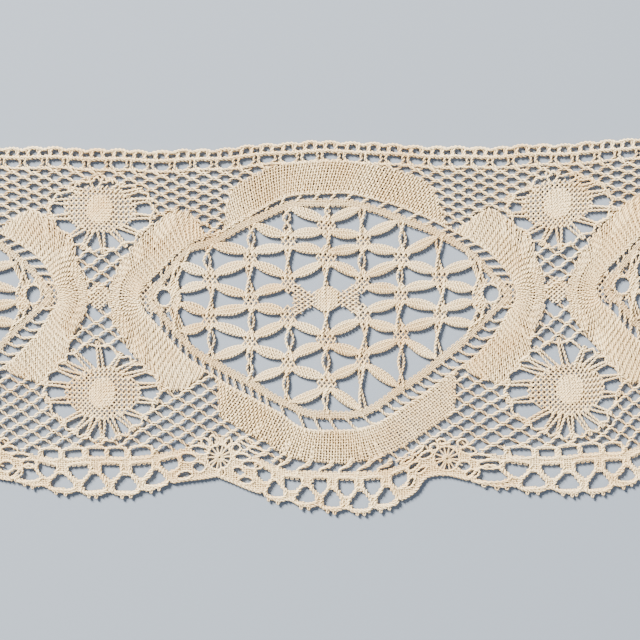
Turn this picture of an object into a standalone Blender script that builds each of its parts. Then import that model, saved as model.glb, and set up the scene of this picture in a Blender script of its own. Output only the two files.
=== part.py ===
# A length of bobbin lace edging, one and a half repeats of its pattern, lying flat and face up.
#
# The lace is worked in one piece, so it is one thin sheet with its larger gaps cut through.
# Pattern places are in millimetres: "along" runs with the edging and "across" runs up to the
# footside, the edge that is sewn to cloth. Both start in the middle of the oval medallion.
import math
from collections import namedtuple

import bpy

MM = 0.001

# Driving sizes.
REPEAT = 119.0
LENGTH = 178.5
THICKNESS = 1.0
PAIR = 0.9
HUMP_PITCH = 5.52
HUMP_HEIGHT = 0.65
HUMP_START = 1.3
GAP_LIMIT = 300
END_MARGIN = 1.0
END_ROOM = 0.4
CROSSING = -59.3

# Shape of an opening: how far its corners are cut back, and where a mesh is at full height.
CORNER_CUT = 0.26
SMALL_CUT = 0.2
STANDING_CUT = 0.12
SHOULDER = 0.4

# The oval ring round the medallion, left to right: its place and the reach of the crossing
# pairs from the ring to the cloth trail outside it.
Ring = namedtuple("Ring", "along across reach")
RING_UPPER = (
    Ring(-45.8, 0.3, 3.1),
    Ring(-41.9, 5.7, 2.6),
    Ring(-36.1, 12.5, 1.4),
    Ring(-31.7, 14.3, 2.0),
    Ring(-26.3, 16.4, 1.4),
    Ring(-21.1, 19.5, 1.6),
    Ring(-14.6, 22.4, 2.3),
    Ring(-6.8, 24.8, 2.6),
    Ring(3.6, 25.0, 2.7),
    Ring(10.9, 23.7, 2.9),
    Ring(19.2, 21.1, 3.1),
    Ring(28.6, 17.2, 2.6),
    Ring(35.6, 13.3, 3.1),
    Ring(40.6, 9.1, 3.9),
    Ring(44.5, 4.7, 3.6),
    Ring(47.3, 0.5, 2.6),
)
RING_LOWER = (
    Ring(-41.9, -4.9, 3.1),
    Ring(-35.9, -12.0, 2.9),
    Ring(-27.3, -17.7, 3.1),
    Ring(-21.1, -21.1, 3.4),
    Ring(-14.6, -25.2, 3.1),
    Ring(-9.9, -27.3, 3.4),
    Ring(-5.5, -29.4, 4.4),
    Ring(1.0, -30.2, 4.2),
    Ring(6.8, -30.2, 4.2),
    Ring(12.0, -28.3, 4.4),
    Ring(19.2, -23.7, 4.7),
    Ring(27.6, -17.7, 4.4),
    Ring(34.8, -11.7, 5.2),
    Ring(40.6, -6.0, 4.9),
    Ring(44.5, -2.3, 3.6),
)
RING_HALF = 0.8
RING_CLEAR = 0.1
RING_STOPS = (0.3, 0.56, 0.8)
RING_STEPS = 6

# Slanted pairs between the ring and the trails: their spacing grows away from both ends.
LADDER_FROM = -45.0
LADDER_TO = 45.5
LADDER_LEFT = -46.0
LADDER_RIGHT = 47.5
LADDER_STEP = 2.6
LADDER_MORE = 1.5
LADDER_EASE = 12.0
LADDER_LEAN = 0.8
LEAST_ROOM = 0.8

# Cloth trails outside the ring: where along the ring each starts, is at full width from and
# to, and ends.
Trail = namedtuple("Trail", "upper start full_from full_to end width")
TRAILS = (
    Trail(True, -45.8, -45.8, -35.0, -29.5, 9.1),
    Trail(True, -27.0, -19.0, 22.5, 30.8, 8.3),
    Trail(True, 32.0, 36.0, 47.3, 47.3, 9.1),
    Trail(False, -45.8, -45.8, -33.0, -28.6, 9.1),
    Trail(False, -27.5, -21.5, 25.5, 31.5, 8.0),
    Trail(False, 31.2, 35.6, 47.3, 47.3, 9.1),
)
TRAIL_SPILL = 0.5

# Woven knots inside the medallion, in columns from left to right, top to bottom in each.
Column = namedtuple("Column", "along half_width knots")
COLUMNS = (
    Column(-38.7, 1.2, (0.5,)),
    Column(-30.2, 2.1, (5.2, -5.2)),
    Column(-19.6, 2.1, (10.7, -0.3, -10.9)),
    Column(-9.8, 2.1, (15.1, 4.7, -4.9, -16.4)),
    Column(0.1, 2.2, (19.2, 10.7, 0.0, -10.4, -22.1)),
    Column(9.6, 2.1, (15.1, 4.7, -4.4, -15.6)),
    Column(19.5, 2.1, (10.7, 0.8, -9.1)),
    Column(29.6, 2.1, (5.7, -3.9)),
    Column(39.3, 1.2, (0.8,)),
)
MIDDLE_COLUMN = 4
KNOT_HALF_HEIGHT = 2.4
MIDDLE_KNOT_HALF_HEIGHT = 3.2
KNOT_CLEAR = 0.5
PLAIT_HALF = 1.15
LEAF_HALF = 1.2
LEAF_SHARE = 0.33
LEAF_CLEAR = 0.15
LEAF_STOPS = (0.34, 0.56, 0.78)
LEAST_BULGE = 0.1

# Gaps inside the medallion: room kept at the ring, and the least height at a plait.
RING_ROOM = 1.5
RING_TIP = 2.2
RING_CORNER = 0.3
LEAST_HALF = 0.6

# Round openings at the two ends of the medallion.
EndOpening = namedtuple("EndOpening", "along across half_width half_height")
END_OPENINGS = (
    EndOpening(-42.05, 0.5, 1.9, 2.0),
    EndOpening(42.9, 1.3, 1.95, 2.2),
)

# Woven spiders, placed from the crossing of two trails: the legs give a direction in degrees
# and a reach from the spider's middle.
Leg = namedtuple("Leg", "turn reach")
Spider = namedtuple("Spider", "along across body tip legs")
UPPER_LEGS = (
    Leg(9, 13.4),
    Leg(24, 11.8),
    Leg(46, 9.0),
    Leg(84, 8.0),
    Leg(108, 8.4),
    Leg(147, 9.4),
    Leg(171, 13.0),
    Leg(189, 13.0),
    Leg(221, 11.2),
    Leg(246, 11.0),
    Leg(274, 11.4),
    Leg(305, 11.6),
    Leg(329, 12.6),
    Leg(351, 14.4),
)
LOWER_LEGS = (
    Leg(9, 15.4),
    Leg(27, 13.4),
    Leg(43, 12.0),
    Leg(64, 11.3),
    Leg(96, 13.0),
    Leg(124, 13.4),
    Leg(140, 13.2),
    Leg(152, 14.0),
    Leg(171, 15.2),
    Leg(189, 14.6),
    Leg(216, 13.4),
    Leg(235, 12.8),
    Leg(250, 12.6),
    Leg(269, 12.4),
    Leg(291, 12.4),
    Leg(311, 12.6),
    Leg(330, 13.2),
    Leg(351, 14.4),
)
SPIDERS = (
    Spider(0.5, 23.7, 5.6, 3.8, UPPER_LEGS),
    Spider(1.2, -24.4, 6.0, 4.2, LOWER_LEGS),
)
TIP_POWER = 16
BODY_CLEAR = 0.5
FOOT_CLEAR = 0.3
LEAST_SPREAD = 0.17
SIDEWAYS = 0.995

# Nets of crossed pairs, placed from the crossing of two trails. Half pitches of the meshes,
# half sizes of one opening, and the band across the lace that the net fills.
NET_STEPS = 16
NET_REACH = 31.0
LEAST_SHARE = 0.4
SHARE_STEP = 0.1
RING_MARGIN = 0.3
TRAIL_MARGIN = 0.45
Net = namedtuple("Net", "along across step rise half_width half_height lowest highest")
NETS = (
    Net(0.7, 8.8, 2.95, 1.88, 1.72, 1.3, 1.0, 20.0),
    Net(-0.4, -8.1, 2.86, 1.95, 1.72, 1.3, -20.0, -3.0),
    Net(-20.2, -34.3, 5.8, 3.56, 3.6, 2.2, -40.0, -22.0),
)

# Woven rosettes at both ends of the middle scallop, placed from the medallion.
Rosette = namedtuple("Rosette", "along across half_width half_height")
ROSETTES = (
    Rosette(-28.4, -40.2, 6.5, 5.5),
    Rosette(30.6, -39.4, 6.5, 5.5),
)

# Larger openings beside the nets, where they end at cloth; placed from the same crossing.
Opening = namedtuple("Opening", "along across half_width half_height")
EDGE_OPENINGS = (
    Opening(2.7, -6.3, 1.9, 1.6),
    Opening(-0.2, -3.9, 1.5, 1.2),
    Opening(-3.1, -6.2, 1.6, 1.3),
    Opening(6.9, -12.0, 2.6, 1.5),
    Opening(-6.4, -11.7, 1.9, 1.25),
    Opening(3.1, 10.9, 1.7, 1.15),
    Opening(-3.2, 10.7, 1.7, 1.15),
    Opening(-0.2, 5.1, 1.7, 1.5),
)

# The footside's top edge without its humps, over one repeat from the medallion's middle.
Edge = namedtuple("Edge", "along across")
TOP_EDGE = (
    Edge(-59.5, 38.6),
    Edge(-43.0, 38.2),
    Edge(-30.0, 38.6),
    Edge(-20.0, 39.4),
    Edge(-9.0, 40.4),
    Edge(7.0, 40.5),
    Edge(19.0, 39.7),
    Edge(36.0, 39.1),
    Edge(50.0, 39.0),
    Edge(59.5, 38.6),
)
FOOT_ROW_DEPTH = 4.2
FOOT_ROW_HALF_WIDTH = 1.72
FOOT_ROW_HALF_HEIGHT = 1.15
Hump = namedtuple("Hump", "shift height")
HUMP_SHAPE = (
    Hump(0.5, 0.0),
    Hump(0.2, 0.92),
    Hump(-0.2, 0.92),
)

# The headside: a braid under the net, fans hanging from it, and an outer braid with picots.
# Side scallops lie from the crossing of two trails, the middle scallop from the medallion.
Braid = namedtuple("Braid", "along across")
SIDE_BRAID = (
    Braid(-28.2, -38.4),
    Braid(-25.0, -39.6),
    Braid(-19.8, -40.6),
    Braid(-14.3, -41.8),
    Braid(-10.4, -42.4),
    Braid(0.0, -42.1),
    Braid(10.4, -41.9),
    Braid(16.4, -41.3),
    Braid(21.0, -40.2),
    Braid(25.0, -38.6),
    Braid(30.7, -37.0),
)
SIDE_OUTER = (
    Braid(-28.2, -45.4),
    Braid(-21.6, -46.8),
    Braid(-17.9, -47.8),
    Braid(-12.5, -49.4),
    Braid(-3.4, -50.2),
    Braid(7.0, -50.6),
    Braid(13.5, -49.1),
    Braid(20.3, -47.3),
    Braid(30.9, -45.4),
)
MIDDLE_BRAID = (
    Braid(-27.0, -37.0),
    Braid(-24.4, -38.9),
    Braid(-19.8, -41.2),
    Braid(-15.1, -43.5),
    Braid(-10.9, -45.2),
    Braid(-6.8, -45.9),
    Braid(3.6, -45.9),
    Braid(14.0, -45.9),
    Braid(17.9, -44.7),
    Braid(23.1, -42.2),
    Braid(28.6, -39.0),
)
MIDDLE_OUTER = (
    Braid(-28.4, -45.4),
    Braid(-24.4, -47.1),
    Braid(-20.8, -48.9),
    Braid(-16.6, -50.4),
    Braid(-13.5, -51.7),
    Braid(-6.0, -53.2),
    Braid(1.6, -54.6),
    Braid(8.6, -54.9),
    Braid(15.6, -53.9),
    Braid(19.8, -51.9),
    Braid(23.2, -49.5),
    Braid(25.2, -46.6),
    Braid(27.0, -45.5),
    Braid(31.5, -45.2),
)
BRAID_HALF = 0.85
OUTER_HALF = 0.7

# Places along each scallop: openings that hang from the braid, the arches under them, and the
# openings that stand on the braid. A spacing gives their widths.
Fan = namedtuple("Fan", "hanging arches spacing standing half_width low high")
SIDE_FAN = Fan(
    hanging=(-20.4, -13.0, -4.8, 3.6, 11.3, 18.6),
    arches=(-18.2, -9.6, -1.1, 7.1, 15.1, 23.1),
    spacing=7.9,
    standing=(-12.3, -6.2, -0.5, 5.0, 11.3),
    half_width=2.1,
    low=0.95,
    high=2.9,
)
MIDDLE_FAN = Fan(
    hanging=(-15.7, -8.5, -1.4, 5.5, 12.1, 19.0),
    arches=(-20.4, -13.5, -5.5, 1.4, 8.8, 15.8),
    spacing=6.9,
    standing=(-8.6, -3.4, 2.0, 7.0, 12.0),
    half_width=2.0,
    low=0.95,
    high=2.7,
)

# Corners of those openings: a share of the room to the neighbour, and a share of the depth.
Corner = namedtuple("Corner", "share drop")
HANGING_SHAPE = (
    Corner(-0.58, 0.0),
    Corner(0.58, 0.0),
    Corner(0.64, 0.23),
    Corner(0.46, 0.45),
    Corner(0.0, 0.6),
    Corner(-0.46, 0.45),
    Corner(-0.64, 0.23),
)
ARCH_SHAPE = (
    Corner(-0.16, 0.5),
    Corner(0.16, 0.5),
    Corner(0.68, 0.84),
    Corner(0.54, 1.0),
    Corner(-0.54, 1.0),
    Corner(-0.68, 0.84),
)
PICOT_HALF = 0.45
PICOT_HEIGHT = 1.0
PICOT_SHARE = 0.14
PICOT_SET = 0.15
VALLEY_RISE = 0.9
ARCH_REACH = 0.28
EDGE_ROOM = 1.0

# The net ends over the side scallop's braid, higher where openings stand on the braid.
NET_OVER_BRAID = 2.6
NET_OVER_STANDING = 4.6
STANDING_FROM = -15.0
STANDING_TO = 14.5

# Unevenness of the hand-worked piece: its right end lies higher, and the ground under the
# right crossing is drawn sideways.
LIFT = 4.2
LIFT_FROM = 40.0
LIFT_POWER = 1.3
LIFT_FADE = 0.65
FADE_FROM = -5.0
FADE_OVER = 40.0
DRIFT = 2.6
DRIFT_FROM = -3.0
DRIFT_OVER = 20.0
DRIFT_AT = 61.5
DRIFT_HALF = 21.5
LOW_DRIFT = 4.1
LOW_FROM = -31.0
LOW_OVER = 9.0
WOBBLE = 0.16
WOBBLE_ALONG = 0.35
WOBBLE_ACROSS = 0.21
SWAY_ALONG = 0.4
SWAY_ACROSS = 0.27

MEDALLIONS = (-REPEAT, 0.0, REPEAT)
CROSSINGS = (CROSSING, CROSSING + REPEAT)


def clamp(value, low, high):
    return max(low, min(high, value))


def smooth_step(share):
    share = clamp(share, 0.0, 1.0)
    return share * share * (3.0 - 2.0 * share)


def worked(along, across):
    """Where a place of the pattern lies in the finished, slightly uneven lace."""
    share = max(0.0, (along - LIFT_FROM) / (LENGTH / 2 - LIFT_FROM))
    fade = 1.0 - LIFT_FADE * clamp((FADE_FROM - across) / FADE_OVER, 0.0, 1.0)
    lift = LIFT * share ** LIFT_POWER * fade
    apart = ((along - DRIFT_AT) / DRIFT_HALF) ** 2
    near = max(0.0, 1.0 - apart)
    drift = DRIFT * near * near * clamp((DRIFT_FROM - across) / DRIFT_OVER, 0.0, 1.0)
    low_drift = LOW_DRIFT * near * (1.0 + apart)
    drift += (low_drift - drift) * clamp((LOW_FROM - across) / LOW_OVER, 0.0, 1.0)
    wobble = WOBBLE * math.sin(WOBBLE_ALONG * along + WOBBLE_ACROSS * across)
    sway = WOBBLE * math.sin(SWAY_ACROSS * across - SWAY_ALONG * along + 1.0)
    return along + drift + sway, across + lift + wobble


def smooth_rows(rows, steps, closed=False):
    """A smooth run of rows through the given ones; every column is eased alike."""
    count = len(rows)
    spans = count if closed else count - 1
    result = []
    for span in range(spans):
        if closed:
            near = [rows[(span + shift) % count] for shift in (-1, 0, 1, 2)]
        else:
            near = [rows[clamp(span + shift, 0, count - 1)] for shift in (-1, 0, 1, 2)]
        for step in range(steps):
            t = step / steps
            eased = []
            for a, b, c, d in zip(*near):
                cubic = (3 * b - a - 3 * c + d) * t ** 3
                square = (2 * a - 5 * b + 4 * c - d) * t ** 2
                eased.append(0.5 * (cubic + square + (c - a) * t) + b)
            result.append(tuple(eased))
    if not closed:
        result.append(tuple(rows[-1]))
    return result


def height_at(rows, along):
    """Across value of a left-to-right run of rows at one place along it."""
    for low, high in zip(rows, rows[1:]):
        if low[0] <= along <= high[0]:
            share = (along - low[0]) / (high[0] - low[0])
            return low[1] + share * (high[1] - low[1])
    return rows[0][1] if along < rows[0][0] else rows[-1][1]


def ring_samples():
    """The closed ring as samples of place, outward direction and reach."""
    rows = smooth_rows(RING_UPPER + RING_LOWER[::-1], RING_STEPS, closed=True)
    count = len(rows)
    samples = []
    for index, row in enumerate(rows):
        before = rows[index - 1]
        after = rows[(index + 1) % count]
        run = after[0] - before[0]
        rise = after[1] - before[1]
        size = math.hypot(run, rise)
        samples.append((row[0], row[1], -rise / size, run / size, row[2]))
    return samples


RING = ring_samples()
TURN = RING_STEPS * (len(RING_UPPER) - 1)
UPPER_RING = RING[:TURN + 1]
LOWER_RING = [RING[0]] + RING[:TURN - 1:-1]


def half_ring(upper):
    return UPPER_RING if upper else LOWER_RING


def ring_at(upper, along):
    """A sample of the upper or lower half ring at one place along it."""
    samples = half_ring(upper)
    for low, high in zip(samples, samples[1:]):
        if low[0] <= along <= high[0]:
            share = (along - low[0]) / (high[0] - low[0])
            return tuple(a + share * (b - a) for a, b in zip(low, high))
    return samples[0] if along < samples[0][0] else samples[-1]


def offset(sample, distance):
    """A place beside the ring, at a distance outward from it."""
    return sample[0] + distance * sample[2], sample[1] + distance * sample[3]


def trail_width(trail, along):
    """Width of a cloth trail at one place, drawn in at its free ends."""
    width = trail.width
    if along < trail.full_from:
        width *= smooth_step((along - trail.start) / (trail.full_from - trail.start))
    if along > trail.full_to:
        width *= smooth_step((trail.end - along) / (trail.end - trail.full_to))
    return width


def trail_outline(trail, margin):
    """A cloth trail with the crossing pairs under it, as one outline."""
    inner = []
    outer = []
    for sample in half_ring(trail.upper):
        if trail.start - TRAIL_SPILL <= sample[0] <= trail.end + TRAIL_SPILL:
            reach = sample[4] + trail_width(trail, sample[0]) + margin
            inner.append(sample[:2])
            outer.append(offset(sample, reach))
    return outer + inner[::-1]


def inside(outline, along, across):
    """True when a place lies inside a closed outline."""
    found = False
    for (x1, y1), (x2, y2) in zip(outline, outline[1:] + outline[:1]):
        if (y1 > across) != (y2 > across) and along < x1 + (across - y1) * (x2 - x1) / (y2 - y1):
            found = not found
    return found


def area(outline):
    pairs = zip(outline, outline[1:] + outline[:1])
    return abs(sum(x1 * y2 - x2 * y1 for (x1, y1), (x2, y2) in pairs)) / 2


def shifted(outline, along, across=0.0):
    return [(x + along, y + across) for x, y in outline]


def rounded(corners, share=CORNER_CUT):
    """The corners of an opening cut back, as threads draw them round."""
    result = []
    for index, corner in enumerate(corners):
        for other in (corners[index - 1], corners[(index + 1) % len(corners)]):
            x = corner[0] + share * (other[0] - corner[0])
            y = corner[1] + share * (other[1] - corner[1])
            result.append((x, y))
    return result


def lozenge(along, across, half_width, half_height):
    shoulder = SHOULDER * half_width
    return [
        (along - half_width, across),
        (along - shoulder, across + half_height),
        (along + shoulder, across + half_height),
        (along + half_width, across),
        (along + shoulder, across - half_height),
        (along - shoulder, across - half_height),
    ]


def knot_half_height(column, knot):
    centre = column == MIDDLE_COLUMN and knot == 3
    return MIDDLE_KNOT_HALF_HEIGHT if centre else KNOT_HALF_HEIGHT


def column_stops(column):
    """A column's places from the upper ring to the lower ring."""
    along = COLUMNS[column].along
    top = ring_at(True, along)[1]
    bottom = ring_at(False, along)[1]
    return [top] + list(COLUMNS[column].knots) + [bottom]


def leaf_side(start, end, side):
    """Three points beside a woven leaf that joins two knots."""
    run = end[0] - start[0]
    rise = end[1] - start[1]
    size = math.hypot(run, rise)
    across_leaf = side if run > 0 else -side
    points = []
    for share in LEAF_STOPS:
        bulge = max(LEAST_BULGE, 1.0 - ((share - 0.5) / LEAF_SHARE) ** 2) ** 0.5
        half = LEAF_HALF * bulge + LEAF_CLEAR
        x = start[0] + share * run - across_leaf * half * rise / size
        y = start[1] + share * rise + across_leaf * half * run / size
        points.append((x, y))
    return points


def ring_side(upper, start, end):
    """Three points inside the ring, between two columns."""
    points = []
    for share in RING_STOPS:
        sample = ring_at(upper, start + share * (end - start))
        points.append(offset(sample, -RING_HALF - RING_CLEAR))
    return points


def medallion_gap(near, knot, far, top, ring_above, ring_below):
    """The gap between a knot, the two leaves from it, and the plait that they reach."""
    apex = (COLUMNS[near].along, column_stops(near)[knot])
    stops = column_stops(far)
    side = 1.0 if far > near else -1.0
    base = COLUMNS[far].along - side * PLAIT_HALF
    upper_end = (COLUMNS[far].along, stops[top])
    lower_end = (COLUMNS[far].along, stops[top + 1])
    high = stops[top] - (RING_ROOM if top == 0 else knot_half_height(far, top))
    last = top + 1 == len(stops) - 1
    low = stops[top + 1] + (RING_ROOM if last else knot_half_height(far, top + 1))
    if high - low < 2 * LEAST_HALF:
        middle = (high + low) / 2
        high = middle + LEAST_HALF
        low = middle - LEAST_HALF
    tip = (apex[0] + side * (COLUMNS[near].half_width + KNOT_CLEAR), apex[1])
    above = leaf_side(apex, upper_end, -1.0)
    below = leaf_side(apex, lower_end, 1.0)
    corners = [(base, high), (base, low)]
    if ring_above:
        above = ring_side(True, apex[0], upper_end[0])
        corners[0] = (base, above[-1][1] - RING_CORNER)
    if ring_below:
        below = ring_side(False, apex[0], lower_end[0])
        corners[1] = (base, below[-1][1] + RING_CORNER)
    if ring_above or ring_below:
        tip = (apex[0] + side * RING_TIP, (above[0][1] + below[0][1]) / 2)
    return [tip] + above + corners + below[::-1]


def medallion_gaps():
    """Every gap between the leaves and plaits inside one ring."""
    gaps = []
    for left in range(len(COLUMNS) - 1):
        growing = left < MIDDLE_COLUMN
        short = left if growing else left + 1
        long = left + 1 if growing else left
        for top in range(len(column_stops(short)) - 1):
            beside_spider = long == MIDDLE_COLUMN and top == 2
            if not beside_spider:
                gaps.append(medallion_gap(long, top + 1, short, top, False, False))
        last = len(column_stops(long)) - 2
        for top in range(last + 1):
            gaps.append(medallion_gap(short, top, long, top, top == 0, top == last))
    for opening in END_OPENINGS:
        ring = []
        for step in range(8):
            turn = math.radians(22.5 + 45.0 * step)
            x = opening.along + opening.half_width * math.cos(turn)
            y = opening.across + opening.half_height * math.sin(turn)
            ring.append((x, y))
        gaps.append(ring)
    return gaps


def ladder_gaps():
    """Gaps between the ring and the cloth trails, parted by slanted crossing pairs."""
    gaps = []
    for upper in (True, False):
        along = LADDER_FROM
        while along < LADDER_TO:
            edge = min(along - LADDER_LEFT, LADDER_RIGHT - along)
            step = LADDER_STEP + LADDER_MORE * smooth_step(edge / LADDER_EASE)
            left = along + PAIR / 2
            right = along + step - PAIR / 2
            foot = ring_at(upper, along)
            lean = LADDER_LEAN * foot[4] * abs(foot[3])
            corners = []
            for place, far in ((left, False), (left + lean, True), (right + lean, True), (right, False)):
                sample = ring_at(upper, place)
                corners.append(offset(sample, sample[4] if far else RING_HALF))
            if ring_at(upper, along + step / 2)[4] > RING_HALF + LEAST_ROOM:
                gaps.append(rounded(corners, SMALL_CUT))
            along += step
    return gaps


def spider_reach(spider):
    """The outline through the feet of a spider's legs."""
    feet = []
    for leg in spider.legs:
        turn = math.radians(leg.turn)
        reach = leg.reach + PAIR
        feet.append((reach * math.cos(turn), reach * math.sin(turn)))
    return shifted(feet, spider.along, spider.across)


def spider_body(spider, turn):
    return spider.body + spider.tip * abs(math.cos(turn)) ** TIP_POWER


def spider_gaps(spider):
    """Gaps between neighbouring legs, outside the woven body."""
    gaps = []
    for first, second in zip(spider.legs, spider.legs[1:]):
        spread = math.radians(second.turn - first.turn)
        if abs(math.cos(math.radians(first.turn + second.turn) / 2)) > SIDEWAYS:
            continue
        corners = []
        for share, foot in ((0.0, False), (0.0, True), (1.0, True), (1.0, False)):
            leg = first if share == 0.0 else second
            turn = math.radians(leg.turn)
            radius = leg.reach - FOOT_CLEAR if foot else spider_body(spider, turn) + BODY_CLEAR
            inset = PAIR / 2 / radius
            turn += inset if share == 0.0 else -inset
            corners.append((radius * math.cos(turn), radius * math.sin(turn)))
        if spread > LEAST_SPREAD:
            gaps.append(shifted(rounded(corners, SMALL_CUT), spider.along, spider.across))
    return gaps


def keep_clear():
    """Outlines that no mesh of the nets may enter."""
    outlines = []
    for centre in MEDALLIONS:
        outlines.append(shifted([offset(sample, sample[4] + RING_MARGIN) for sample in RING], centre))
        for rosette in ROSETTES:
            outlines.append(shifted(lozenge(*rosette), centre))
        for trail in TRAILS:
            outlines.append(shifted(trail_outline(trail, TRAIL_MARGIN), centre))
    for centre in CROSSINGS:
        for spider in SPIDERS:
            outlines.append(shifted(spider_reach(spider), centre))
        for opening in EDGE_OPENINGS:
            wide = opening.half_width + PAIR
            high = opening.half_height + PAIR
            outlines.append(shifted(lozenge(opening.along, opening.across, wide, high), centre))
    return outlines


def net_gaps(net, blocked, floor):
    """Openings of one net, cut short where they meet cloth."""
    gaps = []
    for column in range(-NET_STEPS, NET_STEPS + 1):
        for row in range(-NET_STEPS, NET_STEPS + 1):
            x = net.along + column * net.step
            y = net.across + row * net.rise
            if (column + row) % 2 or abs(x) > NET_REACH or not net.lowest <= y <= net.highest:
                continue
            if any(inside(outline, x, y) for outline in blocked) or y < floor(x):
                continue
            corners = []
            for px, py in lozenge(x, y, net.half_width, net.half_height):
                share = 1.0
                corner = (px, py)
                while share > LEAST_SHARE and any(inside(outline, *corner) for outline in blocked):
                    share -= SHARE_STEP
                    corner = (x + share * (px - x), y + share * (py - y))
                corners.append(corner)
            gaps.append(corners)
    return gaps


def room_beside(place, others, spacing):
    """The distance from a place to the nearest others on its left and on its right."""
    left = min([spacing / 2] + [place - other for other in others if other < place])
    right = min([spacing / 2] + [other - place for other in others if other > place])
    return left, right


def fan_gaps(braid, outer, fan):
    """Openings hanging from and standing on the headside braid, and the arches between them."""
    gaps = []
    for middle in fan.hanging:
        left, right = room_beside(middle, fan.arches, fan.spacing)
        top = height_at(braid, middle) - BRAID_HALF
        depth = top - height_at(outer, middle) - OUTER_HALF
        corners = []
        for share, drop in HANGING_SHAPE:
            place = middle + share * (left if share < 0.0 else right)
            level = height_at(braid, place) - BRAID_HALF if drop == 0.0 else top - drop * depth
            corners.append((place, level))
        gaps.append(corners)
    for middle in fan.arches:
        left, right = room_beside(middle, fan.hanging, fan.spacing)
        top = height_at(braid, middle) - BRAID_HALF
        depth = top - height_at(outer, middle) - OUTER_HALF
        corners = []
        for share, drop in ARCH_SHAPE:
            place = middle + share * (left if share < 0.0 else right)
            level = height_at(outer, place) + OUTER_HALF if drop == 1.0 else top - drop * depth
            corners.append((place, level))
        gaps.append(corners)
    for middle in fan.standing:
        base = height_at(braid, middle)
        left = middle - fan.half_width
        right = middle + fan.half_width
        corners = [(left, base + fan.low), (left, base + fan.high)]
        corners += [(right, base + fan.high), (right, base + fan.low)]
        gaps.append(rounded(corners, STANDING_CUT))
    return gaps


def top_edge(along):
    """Height of the footside's edge, over any repeat."""
    place = (along + REPEAT / 2) % REPEAT - REPEAT / 2
    return height_at(TOP_LINE, place)


def foot_gaps():
    """The row of larger openings under the humps of the footside."""
    gaps = []
    count = int(LENGTH / HUMP_PITCH / 2) + 2
    for index in range(-count, count):
        along = HUMP_START + index * HUMP_PITCH
        across = top_edge(along) + HUMP_HEIGHT - FOOT_ROW_DEPTH
        gaps.append(lozenge(along, across, FOOT_ROW_HALF_WIDTH, FOOT_ROW_HALF_HEIGHT))
    return gaps


TOP_LINE = smooth_rows(TOP_EDGE, 4)
SIDE_BRAID_LINE = smooth_rows(SIDE_BRAID, 4)
SIDE_OUTER_LINE = smooth_rows(SIDE_OUTER, 4)
MIDDLE_BRAID_LINE = smooth_rows(MIDDLE_BRAID, 4)
MIDDLE_OUTER_LINE = smooth_rows(MIDDLE_OUTER, 4)


def net_floor(along):
    """Lowest level of the net over a side scallop's braid."""
    standing = STANDING_FROM < along < STANDING_TO
    return height_at(SIDE_BRAID_LINE, along) + (NET_OVER_STANDING if standing else NET_OVER_BRAID)


def all_gaps():
    """Every gap of the worked length, the largest first."""
    gaps = []
    for centre in MEDALLIONS:
        middle = medallion_gaps() + ladder_gaps()
        middle += fan_gaps(MIDDLE_BRAID_LINE, MIDDLE_OUTER_LINE, MIDDLE_FAN)
        gaps += [shifted(gap, centre) for gap in middle]
    for centre in CROSSINGS:
        blocked = [shifted(outline, -centre) for outline in keep_clear()]
        side = fan_gaps(SIDE_BRAID_LINE, SIDE_OUTER_LINE, SIDE_FAN)
        side += [lozenge(*opening) for opening in EDGE_OPENINGS]
        for spider in SPIDERS:
            side += spider_gaps(spider)
        for net in NETS:
            side += net_gaps(net, blocked, net_floor)
        gaps += [shifted(gap, centre) for gap in side]
    gaps += foot_gaps()
    edge = LENGTH / 2 - END_MARGIN
    placed = [[worked(x, y) for x, y in gap] for gap in gaps]
    placed = [gap for gap in placed if max(abs(x) for x, y in gap) < edge]
    placed.sort(key=area, reverse=True)
    return placed[:GAP_LIMIT]


def top_outline():
    """The footside's edge from right to left, with a hump for every pin."""
    points = []
    count = int(LENGTH / HUMP_PITCH / 2) + 1
    for index in range(count, -count - 1, -1):
        along = HUMP_START + index * HUMP_PITCH
        for hump in HUMP_SHAPE:
            place = along + hump.shift * HUMP_PITCH
            points.append((place, top_edge(place) + hump.height * HUMP_HEIGHT))
    return points


def edge_level(outer, along):
    return height_at(outer, along) - OUTER_HALF


def scallop_outline(rows, outer, fan):
    """The outer braid's edge from left to right, with two picots under every arch."""
    first = fan.arches[0] - fan.spacing / 2
    last = fan.arches[-1] + fan.spacing / 2
    points = [(row.along, row.across - OUTER_HALF) for row in rows[1:] if row.along < first - EDGE_ROOM]
    for arch in fan.arches:
        valley = arch - fan.spacing / 2
        points.append((valley, edge_level(outer, valley) + VALLEY_RISE))
        left = arch - ARCH_REACH * fan.spacing
        right = arch + ARCH_REACH * fan.spacing
        points.append((left, edge_level(outer, left)))
        for side in (-1.0, 1.0):
            picot = arch + side * PICOT_SHARE * fan.spacing
            level = edge_level(outer, picot) - PICOT_SET
            points.append((picot - PICOT_HALF, level))
            points.append((picot, level - PICOT_HEIGHT))
            points.append((picot + PICOT_HALF, level))
        points.append((right, edge_level(outer, right)))
    points.append((last, edge_level(outer, last) + VALLEY_RISE))
    points += [(row.along, row.across - OUTER_HALF) for row in rows[:-1] if row.along > last + EDGE_ROOM]
    return points


def bottom_outline():
    """The headside's edge from left to right, over every scallop of the length."""
    points = []
    for centre in CROSSINGS:
        points += shifted(scallop_outline(SIDE_OUTER, SIDE_OUTER_LINE, SIDE_FAN), centre)
        if centre < 0.0:
            points += scallop_outline(MIDDLE_OUTER, MIDDLE_OUTER_LINE, MIDDLE_FAN)
    return points


def sheet_outline():
    """The whole outline, cut straight at both ends of the length."""
    top = [worked(*point) for point in top_outline()]
    bottom = [worked(*point) for point in bottom_outline()]
    edge = LENGTH / 2
    points = []
    for run in (bottom, top):
        kept = [point for point in run if abs(point[0]) < edge - END_ROOM]
        side = 1.0 if run is top else -1.0
        points.append((side * edge, kept[0][1]))
        points += kept
        points.append((-side * edge, kept[-1][1]))
    return points


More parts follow.
